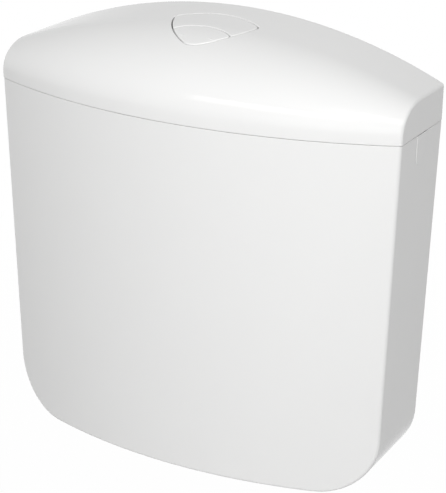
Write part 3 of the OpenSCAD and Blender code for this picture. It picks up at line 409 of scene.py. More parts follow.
def quarter_round(radius, steps):
    """Points along a rounded edge: how far each lies in from the one face and from the other."""
    angles = [math.pi / 2 * i / steps for i in range(steps + 1)]
    return [(radius * (1 - math.cos(a)), radius * (1 - math.sin(a))) for a in angles]


def box_shell(work, low, top, inset, back, front_round, back_round):
    """One skin of the tank, open at the top. Returns the loop of points at its rim."""
    columns = 56
    round_steps = 6
    wall_steps = 5
    right = side_line(low, top, inset)
    left = [(-x, z, -inward_x, inward_z) for x, z, inward_x, inward_z in right]
    end_x = right[-1][0]
    base = [(end_x * (1 - 2 * j / columns), low, 0, 1) for j in range(1, columns)]
    ribs = []
    for x, z, inward_x, inward_z in right + base + left[::-1]:
        rib = []
        for drop, reach in quarter_round(back_round, round_steps):
            rib.append((x + inward_x * reach, back - drop, z + inward_z * reach))
        wall_from = back - back_round
        wall_to = tank_front_y(x, z, inset) + front_round
        for i in range(1, wall_steps):
            rib.append((x, wall_from + (wall_to - wall_from) * i / wall_steps, z))
        for reach, rise in quarter_round(front_round, round_steps):
            px = x + inward_x * reach
            pz = z + inward_z * reach
            rib.append((px, tank_front_y(px, pz, inset) + rise, pz))
        ribs.append([work.verts.new(point) for point in rib])
    skin_faces(work, ribs)
    rows = len(right)
    tops = []
    for end in (0, -1):
        grid = []
        for i in range(rows - 1):
            first = ribs[i][end]
            last = ribs[-1 - i][end]
            row = [first]
            for j in range(1, columns):
                spot = first.co.lerp(last.co, j / columns)
                if end == -1:
                    spot.y = tank_front_y(spot.x, spot.z, inset)
                row.append(work.verts.new(spot))
            grid.append(row + [last])
        grid.append([rib[end] for rib in ribs[rows - 1:rows + columns]])
        skin_faces(work, grid)
        tops.append(grid[0])
    return tops[0][::-1] + ribs[0][1:-1] + tops[1] + ribs[-1][-2:0:-1]


tank_work = bmesh.new()
rim_low = rim_z - rim_edge_r
outer_rim = box_shell(tank_work, floor_z, rim_low, 0, 0, front_edge_r, back_edge_r)
inner_rim = box_shell(tank_work, floor_z + tank_floor, rim_low, tank_wall, -tank_wall,
                      inner_front_r, inner_back_r)
rim_loops = [outer_rim]
rim_steps = 4
rim_path = []
for i in range(1, rim_steps + 1):
    a = math.pi / 2 * i / rim_steps
    rim_path.append((rim_edge_r * (1 - math.cos(a)) / tank_wall, rim_low + rim_edge_r * math.sin(a)))
rim_path += [(1 - across, level) for across, level in rim_path[::-1]]
for across, level in rim_path:
    ring = []
    for out_vert, in_vert in zip(outer_rim, inner_rim):
        spot = out_vert.co.lerp(in_vert.co, across)
        spot.z = level
        ring.append(tank_work.verts.new(spot))
    rim_loops.append(ring)
rim_loops.append(inner_rim)
loft(tank_work, rim_loops)
tank_piece = solid("tank_moulding", tank_work)
at_valve = Matrix.Translation((0, valve_y, 0))
pocket_work = bmesh.new()
pocket_top = pocket_roof_z + tank_floor
pocket_out = pocket_r + tank_wall
pocket_low = floor_z + tank_floor / 2
pocket_cut = pocket_edge_r / 3
turned(pocket_work, [(pocket_out, pocket_low), (pocket_out, pocket_top - pocket_edge_r),
                     (pocket_out - pocket_cut, pocket_top - pocket_cut),
                     (pocket_out - pocket_edge_r, pocket_top)], at_valve, steps=96)
joined(tank_piece, solid("pocket", pocket_work), "UNION")
hole_work = bmesh.new()
mouth_cut = 0.3 * pocket_mouth
turned(hole_work, [(pocket_r + pocket_mouth, floor_z - far_over), (pocket_r + pocket_mouth, floor_z),
                   (pocket_r + mouth_cut, floor_z + mouth_cut), (pocket_r, floor_z + pocket_mouth),
                   (pocket_r, pocket_roof_z - pocket_mouth), (pocket_r - pocket_mouth, pocket_roof_z),
                   (neck_hole_r, pocket_roof_z), (neck_hole_r, pocket_top + far_over)], at_valve, steps=96)
notch_turns = [math.radians(notch_sweep * (1 - 2 * i / notch_steps)) for i in range(notch_steps + 1)]
notch_arc = [(notch_r * math.sin(a), -notch_low - notch_r * math.cos(a)) for a in notch_turns]
notch_line = [(-notch_head, over), (notch_head, over)] + notch_arc
for side in (-1, 1):
    back_hole = Matrix.Translation((side * hang_x, hang_over, 0)) @ Matrix.Rotation(math.pi / 2, 4, "X")
    turned(hole_work, [(hang_hole_r, 0), (hang_hole_r, hang_cut)], back_hole, steps=48)
    lean_turn = Matrix.Rotation(side * tank_draft, 4, "Y")
    upright = Matrix(((0, 0, side, 0), (1, 0, 0, notch_y), (0, 1, 0, 0), (0, 0, 0, 1)))
    place = Matrix.Translation((side * half_w, 0, rim_z)) @ lean_turn @ upright
    prism(hole_work, notch_line, place, -tank_wall - over, over)
joined(tank_piece, solid("holes", hole_work), "DIFFERENCE")
smoothed(tank_piece, degrees=28)
stands_for(tank_piece, "tank")


# Insulation liner
# A box of white expanded polystyrene in the tank, which keeps its cold outside dry. It is moulded
# from beads, so its faces show their outlines, and it is only pushed in.
foam_white = (0.80, 0.82, 0.83)
bead_scale = 330
weld_reach = 2e-6
flat_angle = 0.5
sharp_angle = 38
broad_edge = 0.0008
strong_edge = 0.0006
full_edge = 0.0005
usual_edge = 0.0004
fine_edge = 0.0003
thin_edge = 0.0002
least_edge = 0.0001
foam, tree = new_material("liner_foam")
beads = {"Vector": added(tree, "ShaderNodeTexCoord", {})["Object"], "Scale": bead_scale}
joint = added(tree, "ShaderNodeTexVoronoi", beads, feature="DISTANCE_TO_EDGE")
middle = added(tree, "ShaderNodeTexVoronoi", beads)
groove = added(tree, "ShaderNodeMapRange", {
    "Value": joint["Distance"], "From Max": 0.12, "To Min": 0.8, "To Max": 1})
shade = added(tree, "ShaderNodeVectorMath", {0: foam_white, "Scale": groove["Result"]}, operation="SCALE")
rough = added(tree, "ShaderNodeMapRange", {"Value": middle["Distance"], "To Min": 0.55, "To Max": 0.75})
bump = added(tree, "ShaderNodeBump", {"Distance": 0.0004, "Height": groove["Result"]})
fed(tree, tree.nodes["Principled BSDF"], {
    "Base Color": shade["Vector"], "Roughness": rough["Result"], "Normal": bump["Normal"]})


def softened(node, material, width=usual_edge):
    """A copy of a CAD node with its sharp edges rounded off, in its place."""
    work = bmesh.new()
    work.from_mesh(frame["nodes"][node].data)
    bmesh.ops.remove_doubles(work, verts=work.verts, dist=weld_reach)
    bmesh.ops.dissolve_limit(work, angle_limit=math.radians(flat_angle), verts=work.verts, edges=work.edges)
    made = put(node + "_piece", work, material)
    edge = made.modifiers.new("edge", "BEVEL")
    edge.width = width
    edge.segments = 2
    edge.limit_method = "ANGLE"
    edge.angle_limit = math.radians(sharp_angle)
    plain(made)
    smoothed(made)
    stands_for(made, node)
    return made


softened("insulation_liner", foam, broad_edge)


# Hanging grommets and side inlets
# Two grey nylon bushes in the back wall take the hanging screws. The side notches are filled by a white
# plate on the right and by the inlet's carrier on the left, both slid in from above.
pale_grey = moulded_plastic("pale_grey_plastic", (0.47, 0.50, 0.53, 1), cloud=0.05, gloss=0.32)
softened("hanging_grommets", pale_grey)
softened("side_inlet_blank", white_gloss, fine_edge)
softened("inlet_carrier", white_gloss, fine_edge)


# Water inlet
# The threaded shank of the fill valve comes through the carrier and is held by a rubber washer and a
# grey hexagon nut. A small white strainer sits in its bore.
rubber = moulded_plastic("black_rubber", (0.013, 0.013, 0.014, 1), cloud=0.3, gloss=0.55,
                         drift=0.2, ripple=500, depth=0.00005)
white_matt = moulded_plastic("white_matt_plastic", (0.80, 0.80, 0.77, 1), cloud=0.03, gloss=0.36,
                             drift=0.12, ripple=200)
softened("inlet_washer", rubber, thin_edge)
softened("inlet_locknut", pale_grey)
fill_body = softened("fill_valve_body", pale_grey)
softened("inlet_strainer", white_matt, least_edge)
inlet_r = 0.00833
inlet_pitch = 0.001337
inlet_groove = 0.00055
inlet_relief = 0.001


def coated(tree, given, shape):
    """Ends a geometry tree with real geometry in the given material."""
    real = added(tree, "GeometryNodeRealizeInstances", {"Geometry": shape})
    coat = added(tree, "GeometryNodeSetMaterial", {
        "Geometry": real["Geometry"], "Material": given["Material"]})
    added(tree, "NodeGroupOutput", {"Geometry": coat["Geometry"]})


def helix(tree, given, steps, reverse):
    """A helical line round the z axis."""
    return added(tree, "GeometryNodeCurveSpiral", {
        "Resolution": steps, "Reverse": reverse, "Rotations": given["Turns"], "Height": given["Height"],
        "Start Radius": given["Radius"], "End Radius": given["Radius"]})["Curve"]


def round_wire(tree, given, line, sides):
    """A round wire along a line."""
    ring = added(tree, "GeometryNodeCurvePrimitiveCircle", {"Resolution": sides, "Radius": given["Wire"]})
    return added(tree, "GeometryNodeCurveToMesh", {
        "Curve": line, "Profile Curve": ring["Curve"], "Fill Caps": True})["Mesh"]


def grown_by_nodes(name, tree, points, values):
    """An object that a node tree makes from points and named values, turned into a plain mesh."""
    mesh = bpy.data.meshes.new(name)
    mesh.from_pydata(points, [], [])
    made = placed(name, mesh)
    maker = made.modifiers.new("maker", "NODES")
    maker.node_group = tree
    for item in tree.interface.items_tree:
        if item.in_out == "INPUT" and item.name in values:
            maker[item.identifier] = values[item.name]
    plain(made)
    return made


groove_nodes, given = new_tree("helical_groove", "GeometryNodeTree", {
    "Turns": "Float", "Radius": "Float", "Wire": "Float", "Height": "Float", "Material": "Material"},
    {"Geometry": "Geometry"})
groove_line = helix(groove_nodes, given, steps=40, reverse=True)
coated(groove_nodes, given, round_wire(groove_nodes, given, groove_line, sides=8))


def cut_thread(made, place, radius, pitch, length, depth):
    """Cuts a thread's groove into a piece; place holds the start and the axis of the groove."""
    cutter = grown_by_nodes("cutter", groove_nodes, [], {
        "Turns": length / pitch, "Radius": radius, "Wire": depth, "Height": length, "Material": pale_grey})
    cutter.data.transform(place)
    joined(made, cutter, "DIFFERENCE")
    smoothed(made)


shank_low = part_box("fill_valve_body")[0]
nut_low, nut_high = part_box("inlet_locknut")
nut_middle = (nut_low + nut_high) / 2
shank_start = shank_low.x - inlet_pitch
shank_place = Matrix.Translation((shank_start, nut_middle.y, nut_middle.z))
shank_place = shank_place @ Matrix.Rotation(math.pi / 2, 4, "Y")
shank_bare = nut_low.x - inlet_relief - shank_start
cut_thread(fill_body, shank_place, inlet_r, inlet_pitch, shank_bare, inlet_groove)


# Fill valve
# Inside, a diaphragm under a screwed cap shuts the water off. A lever with a box float on a setting
# screw pushes the pilot plunger; the discharge tube leads the water down without noise.
mid_grey = moulded_plastic("mid_grey_plastic", (0.21, 0.23, 0.26, 1), cloud=0.08, gloss=0.34)
dark_grey = moulded_plastic("dark_plastic", (0.032, 0.035, 0.042, 1), cloud=0.15, gloss=0.36)
softened("fill_diaphragm", rubber, thin_edge)
softened("fill_valve_cap", mid_grey)
softened("discharge_tube", pale_grey)
softened("pilot_plunger", white_matt, thin_edge)
softened("float_lever", dark_grey)
softened("float_screw", white_matt, fine_edge)
softened("fill_float", white_matt, broad_edge)


# Steel pins
# Drawn stainless steel pins carry the float lever and the two flush levers, and steel pins push
# the levers down.
steel_tone = (0.56, 0.56, 0.55, 1)
draw_scale = (900, 900, 60)
steel, tree = new_material("steel")
place = added(tree, "ShaderNodeTexCoord", {})
drawn = added(tree, "ShaderNodeMapping", {"Vector": place["Object"], "Scale": draw_scale})
lines = added(tree, "ShaderNodeTexNoise", {"Vector": drawn["Vector"], "Scale": 1, "Detail": 3})
rough = added(tree, "ShaderNodeMapRange", {"Value": lines["Fac"], "To Min": 0.18, "To Max": 0.42})
bump = added(tree, "ShaderNodeBump", {"Distance": 0.00002, "Height": lines["Fac"]})
fed(tree, tree.nodes["Principled BSDF"], {
    "Metallic": 1, "Base Color": steel_tone, "Roughness": rough["Result"], "Normal": bump["Normal"]})
for pin in ("float_lever_pin", "full_lever_pin", "half_lever_pin", "full_push_pin", "half_push_pin"):
    softened(pin, steel, fine_edge)


# Outlet
# The grey valve seat is screwed through the pocket with a gasket and a lug nut, and a coupling nut with
# a rubber cone holds the flush pipe on its threaded neck.
seat_piece = softened("valve_seat", pale_grey)
softened("seat_gasket", rubber, fine_edge)
softened("outlet_locknut", mid_grey, strong_edge)
softened("cone_seal", rubber, fine_edge)
softened("coupling_nut", mid_grey, strong_edge)
neck_r = 0.030
neck_pitch = 0.003
neck_groove = 0.0011
neck_hidden = 0.0025
neck_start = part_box("coupling_nut")[1].z - neck_hidden
neck_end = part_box("outlet_locknut")[0].z + neck_hidden
neck_place = Matrix.Translation((0, valve_y, neck_start))
cut_thread(seat_piece, neck_place, neck_r, neck_pitch, neck_end - neck_start, neck_groove)


# Flush valve
# A basket on the seat guides the white overflow tube with its rubber-faced disc. Two cup floats, green
# for the full flush and blue for the half one, hold it up until the water has run out.
green_plastic = moulded_plastic("green_plastic", (0.073, 0.32, 0.133, 1), cloud=0.08, gloss=0.32)
blue_plastic = moulded_plastic("blue_plastic", (0.033, 0.147, 0.42, 1), cloud=0.08, gloss=0.32)
softened("valve_basket", pale_grey, full_edge)
softened("valve_tower", pale_grey, full_edge)
softened("overflow_tube", white_matt, full_edge)
softened("valve_seal", rubber, fine_edge)
softened("full_float", green_plastic, strong_edge)
softened("half_float", blue_plastic, strong_edge)
softened("full_lift_rod", white_matt, fine_edge)
softened("half_lift_rod", white_matt, fine_edge)


# Levers
# A grey bracket on the tower carries two see-saw levers, one for each button. It is held by two
# steel screws.
softened("lever_bracket", mid_grey)
softened("full_lever", green_plastic)
softened("half_lever", blue_plastic)
screw_head_r = 0.0036
screw_head_h = 0.0022
head_edge = 0.0002
head_dome = 0.0010
cross_half = 0.00045
cross_reach = 0.0021
cross_depth = 0.0013
bracket_screw_x = 0.030
bracket_shank_r = 0.0017
set_out_nodes, given = new_tree("set_out", "GeometryNodeTree", {
    "Geometry": "Geometry", "Part": "Object", "Material": "Material"}, {"Geometry": "Geometry"})
part = added(set_out_nodes, "GeometryNodeObjectInfo", {"Object": given["Part"]})
stand = added(set_out_nodes, "GeometryNodeInstanceOnPoints", {
    "Points": given["Geometry"], "Instance": part["Geometry"]})
coated(set_out_nodes, given, stand["Instances"])


def screw_set(node, spots, shank_r, head_up):
    """Steel screws with a cross recess in the head, in place of a CAD node."""
    low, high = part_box(node)
    length = high.z - low.z
    seat = length - screw_head_h
    place = Matrix.Translation((0, 0, low.z))
    if not head_up:
        place = Matrix.Translation((0, 0, high.z)) @ Matrix.Rotation(math.pi, 4, "X")
    body_work = bmesh.new()
    turned(body_work, [(shank_r / 2, 0), (shank_r, shank_r / 2), (shank_r, seat),
                       (screw_head_r - head_edge, seat), (screw_head_r, seat + head_edge),
                       (screw_head_r, length - 0.9 * head_dome),
                       (screw_head_r - 0.3 * head_dome, length - 0.4 * head_dome),
                       (screw_head_r - head_dome, length)], place, steps=40)
    screw = solid("screw", body_work, steel)
    quarter_line = [(cross_half, -cross_reach), (cross_half, -cross_half), (cross_reach, -cross_half)]
    cross = []
    for k in range(4):
        turn = Matrix.Rotation(k * math.pi / 2, 2)
        cross += [turn @ Vector(point) for point in quarter_line]
    cross_work = bmesh.new()
    prism(cross_work, cross, place, length - cross_depth, length + over)
    joined(screw, solid("cross", cross_work, steel), "DIFFERENCE")
    made = grown_by_nodes(node + "_piece", set_out_nodes, spots, {"Part": screw, "Material": steel})
    bpy.data.objects.remove(screw)
    smoothed(made)
    stands_for(made, node)


bracket_spots = [(side * bracket_screw_x, valve_y, 0) for side in (-1, 1)]
screw_set("bracket_screws", bracket_spots, bracket_shank_r, True)


# Lid
# An arched shell of the same glossy white ABS, lifted off by hand. Its shoulder rolls down to the bowed
# front, a lip under its edge drops into the tank, and a collar round the opening guides the buttons.
lid_overhang = 0.0005
lid_half = half_w + lid_overhang
lid_end_h = 0.036
lid_crown = 0.0485
lid_fall = 0.12
shoulder_y = 0.060
skirt_h = 0.009
lid_wall = 0.003
lid_edge_r = 0.0024
lid_back_r = 0.0024
least_back_r = 0.0008
inner_edge_r = 0.0006
seam_gap = 0.0005
seam_depth = 0.0018
lip_out = 0.0036
lip_in = 0.0056
lip_depth = 0.006
lip_r = 0.0005
web_h = 0.004
crown_r = (lid_half ** 2 + lid_crown ** 2) / (2 * lid_crown)
button_half_w = 0.0475
button_corner_y = 0.0465
button_front_y = 0.102
button_arc_r = 0.078
button_round = 0.007
button_nose = 0.020
split_y = 0.0665
split_r = 0.052
button_gap = 0.001
button_end_r = 0.0014
edge_steps = 5
foot_steps = 3
hole_edge_r = 0.0012
hole_clear = 0.0016
patch_half_w = 0.062
patch_back = -0.024
patch_front = -0.114
collar_t = 0.0022
collar_z = rim_z + 0.048
frame_top = rim_z + 0.043
screw_spots = ((0.052, -0.033), (0.040, -0.094))
frame_shank_r = 0.00155
boss_r = 0.005
boss_edge = 0.0004
boss_sink = 0.0022
tapping_r = 0.0016
tapping_l = 0.0105
tapping_tip = 0.0015


def lid_front_y(x):
    """The lid's bowed front edge."""
    return bow_y - math.sqrt((bow_r + lid_overhang) ** 2 - x ** 2)


def band_height(x, y):
    """Height above the rim of the lid's arched top, before its shoulder."""
    rise = math.sqrt(crown_r ** 2 - x ** 2) - (crown_r - lid_crown)
    return lid_end_h + rise * (1 + lid_fall * y / lid_crown)


def lid_height(x, y, inset):
    """Level of the lid's skin at a point, moved down by an inset."""
    reach = -lid_front_y(x) - shoulder_y - inset
    along = min(1, max(0, (-y - shoulder_y) / reach))
    return rim_z + skirt_h + (band_height(x, y) - inset - skirt_h) * math.sqrt(1 - along ** 2)


def lid_section(x, inset, foot):
    """Cross section at x from the back edge over the top to the front edge, as (y, z) points."""
    round_steps = 5
    band_steps = 18
    shoulder_steps = 26
    back_steps = 5
    front_steps = 3
    back_r = max(least_back_r, lid_back_r - inset / 2)
    back_h = lid_height(x, -inset, inset) - back_r - foot
    line = [(-inset, foot + back_h * i / back_steps) for i in range(back_steps)]
    for reach, drop in quarter_round(back_r, round_steps):
        y = -inset - reach
        line.append((y, lid_height(x, y, inset) - drop))
    start = -inset - back_r
    for i in range(1, band_steps + 1):
        y = start + (-shoulder_y - start) * i / band_steps
        line.append((y, lid_height(x, y, inset)))
    reach = -lid_front_y(x) - shoulder_y - inset
    for i in range(1, shoulder_steps + 1):
        a = math.pi / 2 * i / shoulder_steps
        y = -shoulder_y - reach * math.sin(a)
        line.append((y, rim_z + skirt_h + (band_height(x, y) - inset - skirt_h) * math.cos(a)))
    front = -shoulder_y - reach
    for i in range(1, front_steps + 1):
        line.append((front, rim_z + skirt_h + (foot - rim_z - skirt_h) * i / front_steps))
    return line


def moved_in(line, reach):
    """A cross section moved towards its inside; its two ends only move level."""
    out = []
    last = len(line) - 1
    for k, (y, z) in enumerate(line):
        before = line[max(0, k - 1)]
        after = line[min(last, k + 1)]
        run = Vector((after[0] - before[0], after[1] - before[1])).normalized()
        if k in (0, last):
            run = Vector((0, 1 if k == 0 else -1))
        out.append((y - abs(run.y) * reach * (1 if run.y > 0 else -1), z - abs(run.x) * reach))
    return out


def lid_skin(work, inset, end_r, foot):
    """One skin of the lid as rows of points along x. Returns the rows."""
    columns = 90
    round_steps = 6
    half = lid_half - inset
    rows = []
    for i in range(round_steps):
        a = math.pi / 2 * (1 - i / round_steps)
        x = -(half - end_r + end_r * math.sin(a))
        section = moved_in(lid_section(x, inset, foot), end_r * (1 - math.cos(a)))
        rows.append([(x, y, z) for y, z in section])
    flat = half - end_r
    for i in range(columns + 1):
        x = flat * (2 * i / columns - 1)
        rows.append([(x, y, z) for y, z in lid_section(x, inset, foot)])
    rows += [[(-x, y, z) for x, y, z in row] for row in rows[:round_steps][::-1]]
    return [[work.verts.new(point) for point in row] for row in rows]


def circle_meet(one, one_r, two, two_r, near):
    """The meeting point of two circles that lies nearer to a given point."""
    gap = two - one
    d = gap.length
    along = (d * d + one_r ** 2 - two_r ** 2) / (2 * d)
    off = math.sqrt(one_r ** 2 - along ** 2)
    foot = one + gap * along / d
    side = Vector((-gap.y, gap.x)) * off / d
    return min((foot + side, foot - side), key=lambda spot: (spot - near).length)


side_chord = math.hypot(button_half_w, button_front_y - button_corner_y) / 2
side_back = math.sqrt(button_arc_r ** 2 - side_chord ** 2)
side_mid = Vector((button_half_w / 2 - side_back * (button_front_y - button_corner_y) / (2 * side_chord),
                   -(button_front_y + button_corner_y) / 2 + side_back * button_half_w / (2 * side_chord)))
left_mid = Vector((-side_mid.x, side_mid.y))
back_mid = Vector((0, -button_corner_y - math.sqrt(button_arc_r ** 2 - button_half_w ** 2)))
split_mid = Vector((0, -split_y - split_r))
rear_right = circle_meet(side_mid, button_arc_r - button_round, back_mid, button_arc_r - button_round,
                         Vector((button_half_w, -button_corner_y)))
rear_left = Vector((-rear_right.x, rear_right.y))
front_tip = circle_meet(side_mid, button_arc_r - button_nose, left_mid, button_arc_r - button_nose,
                        Vector((0, -button_front_y)))


def bearing(start, end):
    """Angle of the line from one point to another."""
    return math.atan2(end.y - start.y, end.x - start.x)


def touch_angles(one, two):
    """Angles on two touching arcs, given as middle, radius and turn, of the point where they meet."""
    if one[2] != two[2]:
        return bearing(one[0], two[0]), bearing(two[0], one[0])
    large, small = (one, two) if one[1] > two[1] else (two, one)
    angle = bearing(large[0], small[0])
    return angle, angle


def arc_chain(arcs):
    """Points along a closed chain of touching arcs; turn is 1 for a bulging arc, -1 for a hollow one."""
    long_steps = 36
    short_steps = 14
    points = []
    for k, (middle, radius, turn) in enumerate(arcs):
        start = touch_angles(arcs[k - 1], arcs[k])[1]
        end = touch_angles(arcs[k], arcs[(k + 1) % len(arcs)])[0]
        sweep = turn * ((turn * (end - start)) % (2 * math.pi))
        steps = long_steps if radius > button_nose + button_round else short_steps
        for i in range(steps):
            a = start + sweep * i / steps
            points.append(middle + radius * Vector((math.cos(a), math.sin(a))))
    return points


def button_outline(kind, inset):
    """Outline of the opening or of a button, moved in."""
    right = (side_mid, button_arc_r - inset, 1)
    left = (left_mid, button_arc_r - inset, 1)
    back = (back_mid, button_arc_r - inset, 1)
    nose = (front_tip, button_nose - inset, 1)
    rear = [right, (rear_right, button_round - inset, 1), back, (rear_left, button_round - inset, 1), left]
    if kind == "opening":
        return arc_chain(rear + [nose])
    sign = 1 if kind == "full" else -1
    line_r = split_r + sign * (inset - button_gap / 2)
    end_mid = circle_meet(side_mid, button_arc_r - inset - button_end_r,
                          split_mid, line_r + sign * button_end_r, rear_right)
    right_end = (end_mid, button_end_r, 1)
    left_end = (Vector((-end_mid.x, end_mid.y)), button_end_r, 1)
    split = (split_mid, line_r, -sign)
    if kind == "full":
        return arc_chain([right_end] + rear + [left_end, split])
    return arc_chain([nose, right, right_end, split, left_end, left])


def inside(outline, spot):
    """True where a point lies within a closed outline."""
    crossed = False
    for one, two in zip(outline, outline[1:] + outline[:1]):
        if (one.y > spot.y) != (two.y > spot.y):
            if spot.x < one.x + (two.x - one.x) * (spot.y - one.y) / (two.y - one.y):
                crossed = not crossed
    return crossed


def patch(work, outer, hole, extra):
    """Fills the plan between an outer loop of points and a hole, through extra points, with triangles."""
    known = outer + hole + extra
    plan = [vert.co.xy for vert in known]
    edges = [(k, (k + 1) % len(outer)) for k in range(len(outer))]
    base = len(outer)
    edges += [(base + k, base + (k + 1) % len(hole)) for k in range(len(hole))]
    rim = plan[:base]
    hole_rim = plan[base:base + len(hole)]
    nearness = 1e-9
    found = delaunay_2d_cdt(plan, edges, [], 0, nearness)
    spots = found[0]
    origin = found[3]
    for face in found[2]:
        middle = sum((spots[k] for k in face), Vector((0, 0))) / len(face)
        if inside(rim, middle) and not (hole and inside(hole_rim, middle)):
            work.faces.new([known[origin[k][0]] for k in face])


def grown(work, kind, grow, inset=0, drop=0, level=None):
    """A loop of points on an outline, grown by a width: on the lid's skin moved down, or at one level."""
    loop = []
    for spot in button_outline(kind, -grow):
        z = lid_height(spot.x, spot.y, inset) - drop if level is None else level
        loop.append(work.verts.new((spot.x, spot.y, z)))
    return loop


def opened_skin(work, rows, inset, grow):
    """Faces of a lid skin with the opening cut in it. Returns the loop round the opening."""
    loop = grown(work, "opening", grow, inset)
    keep_out = button_outline("opening", -grow - hole_clear)
    columns = len(rows)
    count = len(rows[0])
    first = next(k for k in range(columns) if rows[k][0].co.x > -patch_half_w)
    last = columns - 1 - first
    centre_row = rows[columns // 2]
    low = next(k for k in range(count) if centre_row[k].co.y < patch_back)
    high = next(k for k in range(count) if centre_row[k].co.y < patch_front)
    for i in range(columns - 1):
        for k in range(count - 1):
            if not (first <= i < last and low <= k < high):
                work.faces.new((rows[i][k], rows[i][k + 1], rows[i + 1][k + 1], rows[i + 1][k]))
    border = [rows[i][low] for i in range(first, last)]
    border += [rows[last][k] for k in range(low, high)]
    border += [rows[i][high] for i in range(last, first, -1)]
    border += [rows[first][k] for k in range(high, low, -1)]
    extra = []
    for i in range(first + 1, last):
        for k in range(low + 1, high):
            vert = rows[i][k]
            if inside(keep_out, vert.co):
                work.verts.remove(vert)
            else:
                extra.append(vert)
    patch(work, border, loop, extra)
    return loop


def rim_ring(work, rows, inset, back, level):
    """A loop under a lid skin's edge, moved in from the tank's outline and from the wall."""
    half = half_w - inset
    behind = []
    ahead = []
    for row in rows:
        x = row[0].co.x * half / lid_half
        rounding = -row[0].co.y
        behind.append((x, -back - rounding, level))
        ahead.append((x, bow_y - math.sqrt((bow_r - inset) ** 2 - x ** 2) + rounding, level))
    return [work.verts.new(point) for point in behind + ahead[::-1]]


lid_work = bmesh.new()
seam_z = rim_z + seam_gap
outer_rows = lid_skin(lid_work, 0, lid_edge_r, seam_z + rim_edge_r)
inner_rows = lid_skin(lid_work, lid_wall, inner_edge_r, rim_z + web_h)
outer_hole = opened_skin(lid_work, outer_rows, 0, hole_edge_r)
inner_hole = opened_skin(lid_work, inner_rows, lid_wall, collar_t)
for rows in (outer_rows, inner_rows):
    lid_work.faces.new(rows[0])
    lid_work.faces.new(rows[-1])
hole_loops = [outer_hole]
for drop, grow in quarter_round(hole_edge_r, edge_steps)[1:]:
    hole_loops.append(grown(lid_work, "opening", grow, drop=drop))
for grow in (0, collar_t):
    hole_loops.append(grown(lid_work, "opening", grow, level=collar_z))
hole_loops.append(inner_hole)
loft(lid_work, hole_loops)
edge_loops = [[row[0] for row in outer_rows] + [row[-1] for row in outer_rows[::-1]]]
for reach, rise in quarter_round(rim_edge_r, foot_steps)[1:]:
    edge_loops.append(rim_ring(lid_work, outer_rows, reach - lid_overhang, reach, seam_z + rise))
lip_low = rim_z - lip_depth
for inset, level in ((seam_depth, seam_z), (seam_depth, rim_z), (lip_out, rim_z),
                     (lip_out, lip_low + lip_r), (lip_out + lip_r, lip_low), (lip_in - lip_r, lip_low),
                     (lip_in, lip_low + lip_r), (lip_in, rim_z + web_h - lip_r),
                     (lip_in - lip_r, rim_z + web_h)):
    edge_loops.append(rim_ring(lid_work, outer_rows, inset, inset, level))
edge_loops.append([row[0] for row in inner_rows] + [row[-1] for row in inner_rows[::-1]])
loft(lid_work, edge_loops)
lid_piece = solid("lid_moulding", lid_work)
boss_work = bmesh.new()
tapping_work = bmesh.new()
for side in (-1, 1):
    for x, y in screw_spots:
        spot = Matrix.Translation((side * x, y, 0))
        top = lid_height(x, y, 0) - boss_sink
        turned(boss_work, [(boss_r - boss_edge, frame_top), (boss_r, frame_top + boss_edge),
                           (boss_r, top)], spot, steps=32)
        turned(tapping_work, [(tapping_r, frame_top - over), (tapping_r, frame_top + tapping_l),
                              (0, frame_top + tapping_l + tapping_tip)], spot, steps=20)
joined(lid_piece, solid("bosses", boss_work), "UNION")
joined(lid_piece, solid("tappings", tapping_work), "DIFFERENCE")
smoothed(lid_piece, degrees=32)
stands_for(lid_piece, "lid")
softened("button_frame", pale_grey)
frame_spots = [(side * x, y, 0) for side in (-1, 1) for x, y in screw_spots]
screw_set("frame_screws", frame_spots, frame_shank_r, False)


# Button springs
# Two coil springs of stainless wire on the guide stems hold each button up. They are wound with closer
# turns at their ends and stand loose between the frame and the button.
wire_r = 0.00055
coil_r = 0.00525
end_squeeze = 0.5
stem_x = 0.015


def spring_tree():
    """Geometry nodes: a pair of coils of round wire, with closer turns at their ends."""
    tree, given = new_tree("coil_springs", "GeometryNodeTree", {
        "Turns": "Float", "Radius": "Float", "Wire": "Float", "Height": "Float", "Spacing": "Float",
        "Centre": "Vector", "Material": "Material"}, {"Geometry": "Geometry"})
    along = added(tree, "GeometryNodeSplineParameter", {})
    wave = worked(tree, "SINE", worked(tree, "MULTIPLY", along["Factor"], 2 * math.pi))
    closer = worked(tree, "MULTIPLY", wave, -end_squeeze / (2 * math.pi))
    shift = added(tree, "ShaderNodeCombineXYZ", {"Z": worked(tree, "MULTIPLY", closer, given["Height"])})
    wound = added(tree, "GeometryNodeSetPosition", {
        "Geometry": helix(tree, given, steps=32, reverse=False), "Offset": shift["Vector"]})
    coil = round_wire(tree, given, wound["Geometry"], sides=12)
    apart = added(tree, "ShaderNodeCombineXYZ", {"X": given["Spacing"]})
    ends = [added(tree, "ShaderNodeVectorMath", {0: given["Centre"], 1: apart["Vector"]}, operation=kind)
            for kind in ("SUBTRACT", "ADD")]
    pair = added(tree, "GeometryNodeMeshLine", {
        "Count": 2, "Start Location": ends[0]["Vector"], "Offset": ends[1]["Vector"]}, mode="END_POINTS")
    stand = added(tree, "GeometryNodeInstanceOnPoints", {"Points": pair["Mesh"], "Instance": coil})
    coated(tree, given, stand["Instances"])
    return tree


spring_nodes = spring_tree()
for node, joint, turns in (("full_button_springs", "full_press", 6.0),
                           ("half_button_springs", "half_press", 4.5)):
    spring_low, spring_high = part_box(node)
    spring_y = (spring_low.y + spring_high.y) / 2
    wire_span = spring_high.z - spring_low.z - 2 * wire_r
    coils = grown_by_nodes(node + "_piece", spring_nodes, [], {
        "Turns": turns, "Radius": coil_r, "Wire": wire_r, "Height": wire_span, "Spacing": stem_x,
        "Centre": (0.0, spring_y, spring_low.z + wire_r), "Material": steel})
    coils.data.shade_smooth()
    stands_for(coils, node)
    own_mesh(coils)


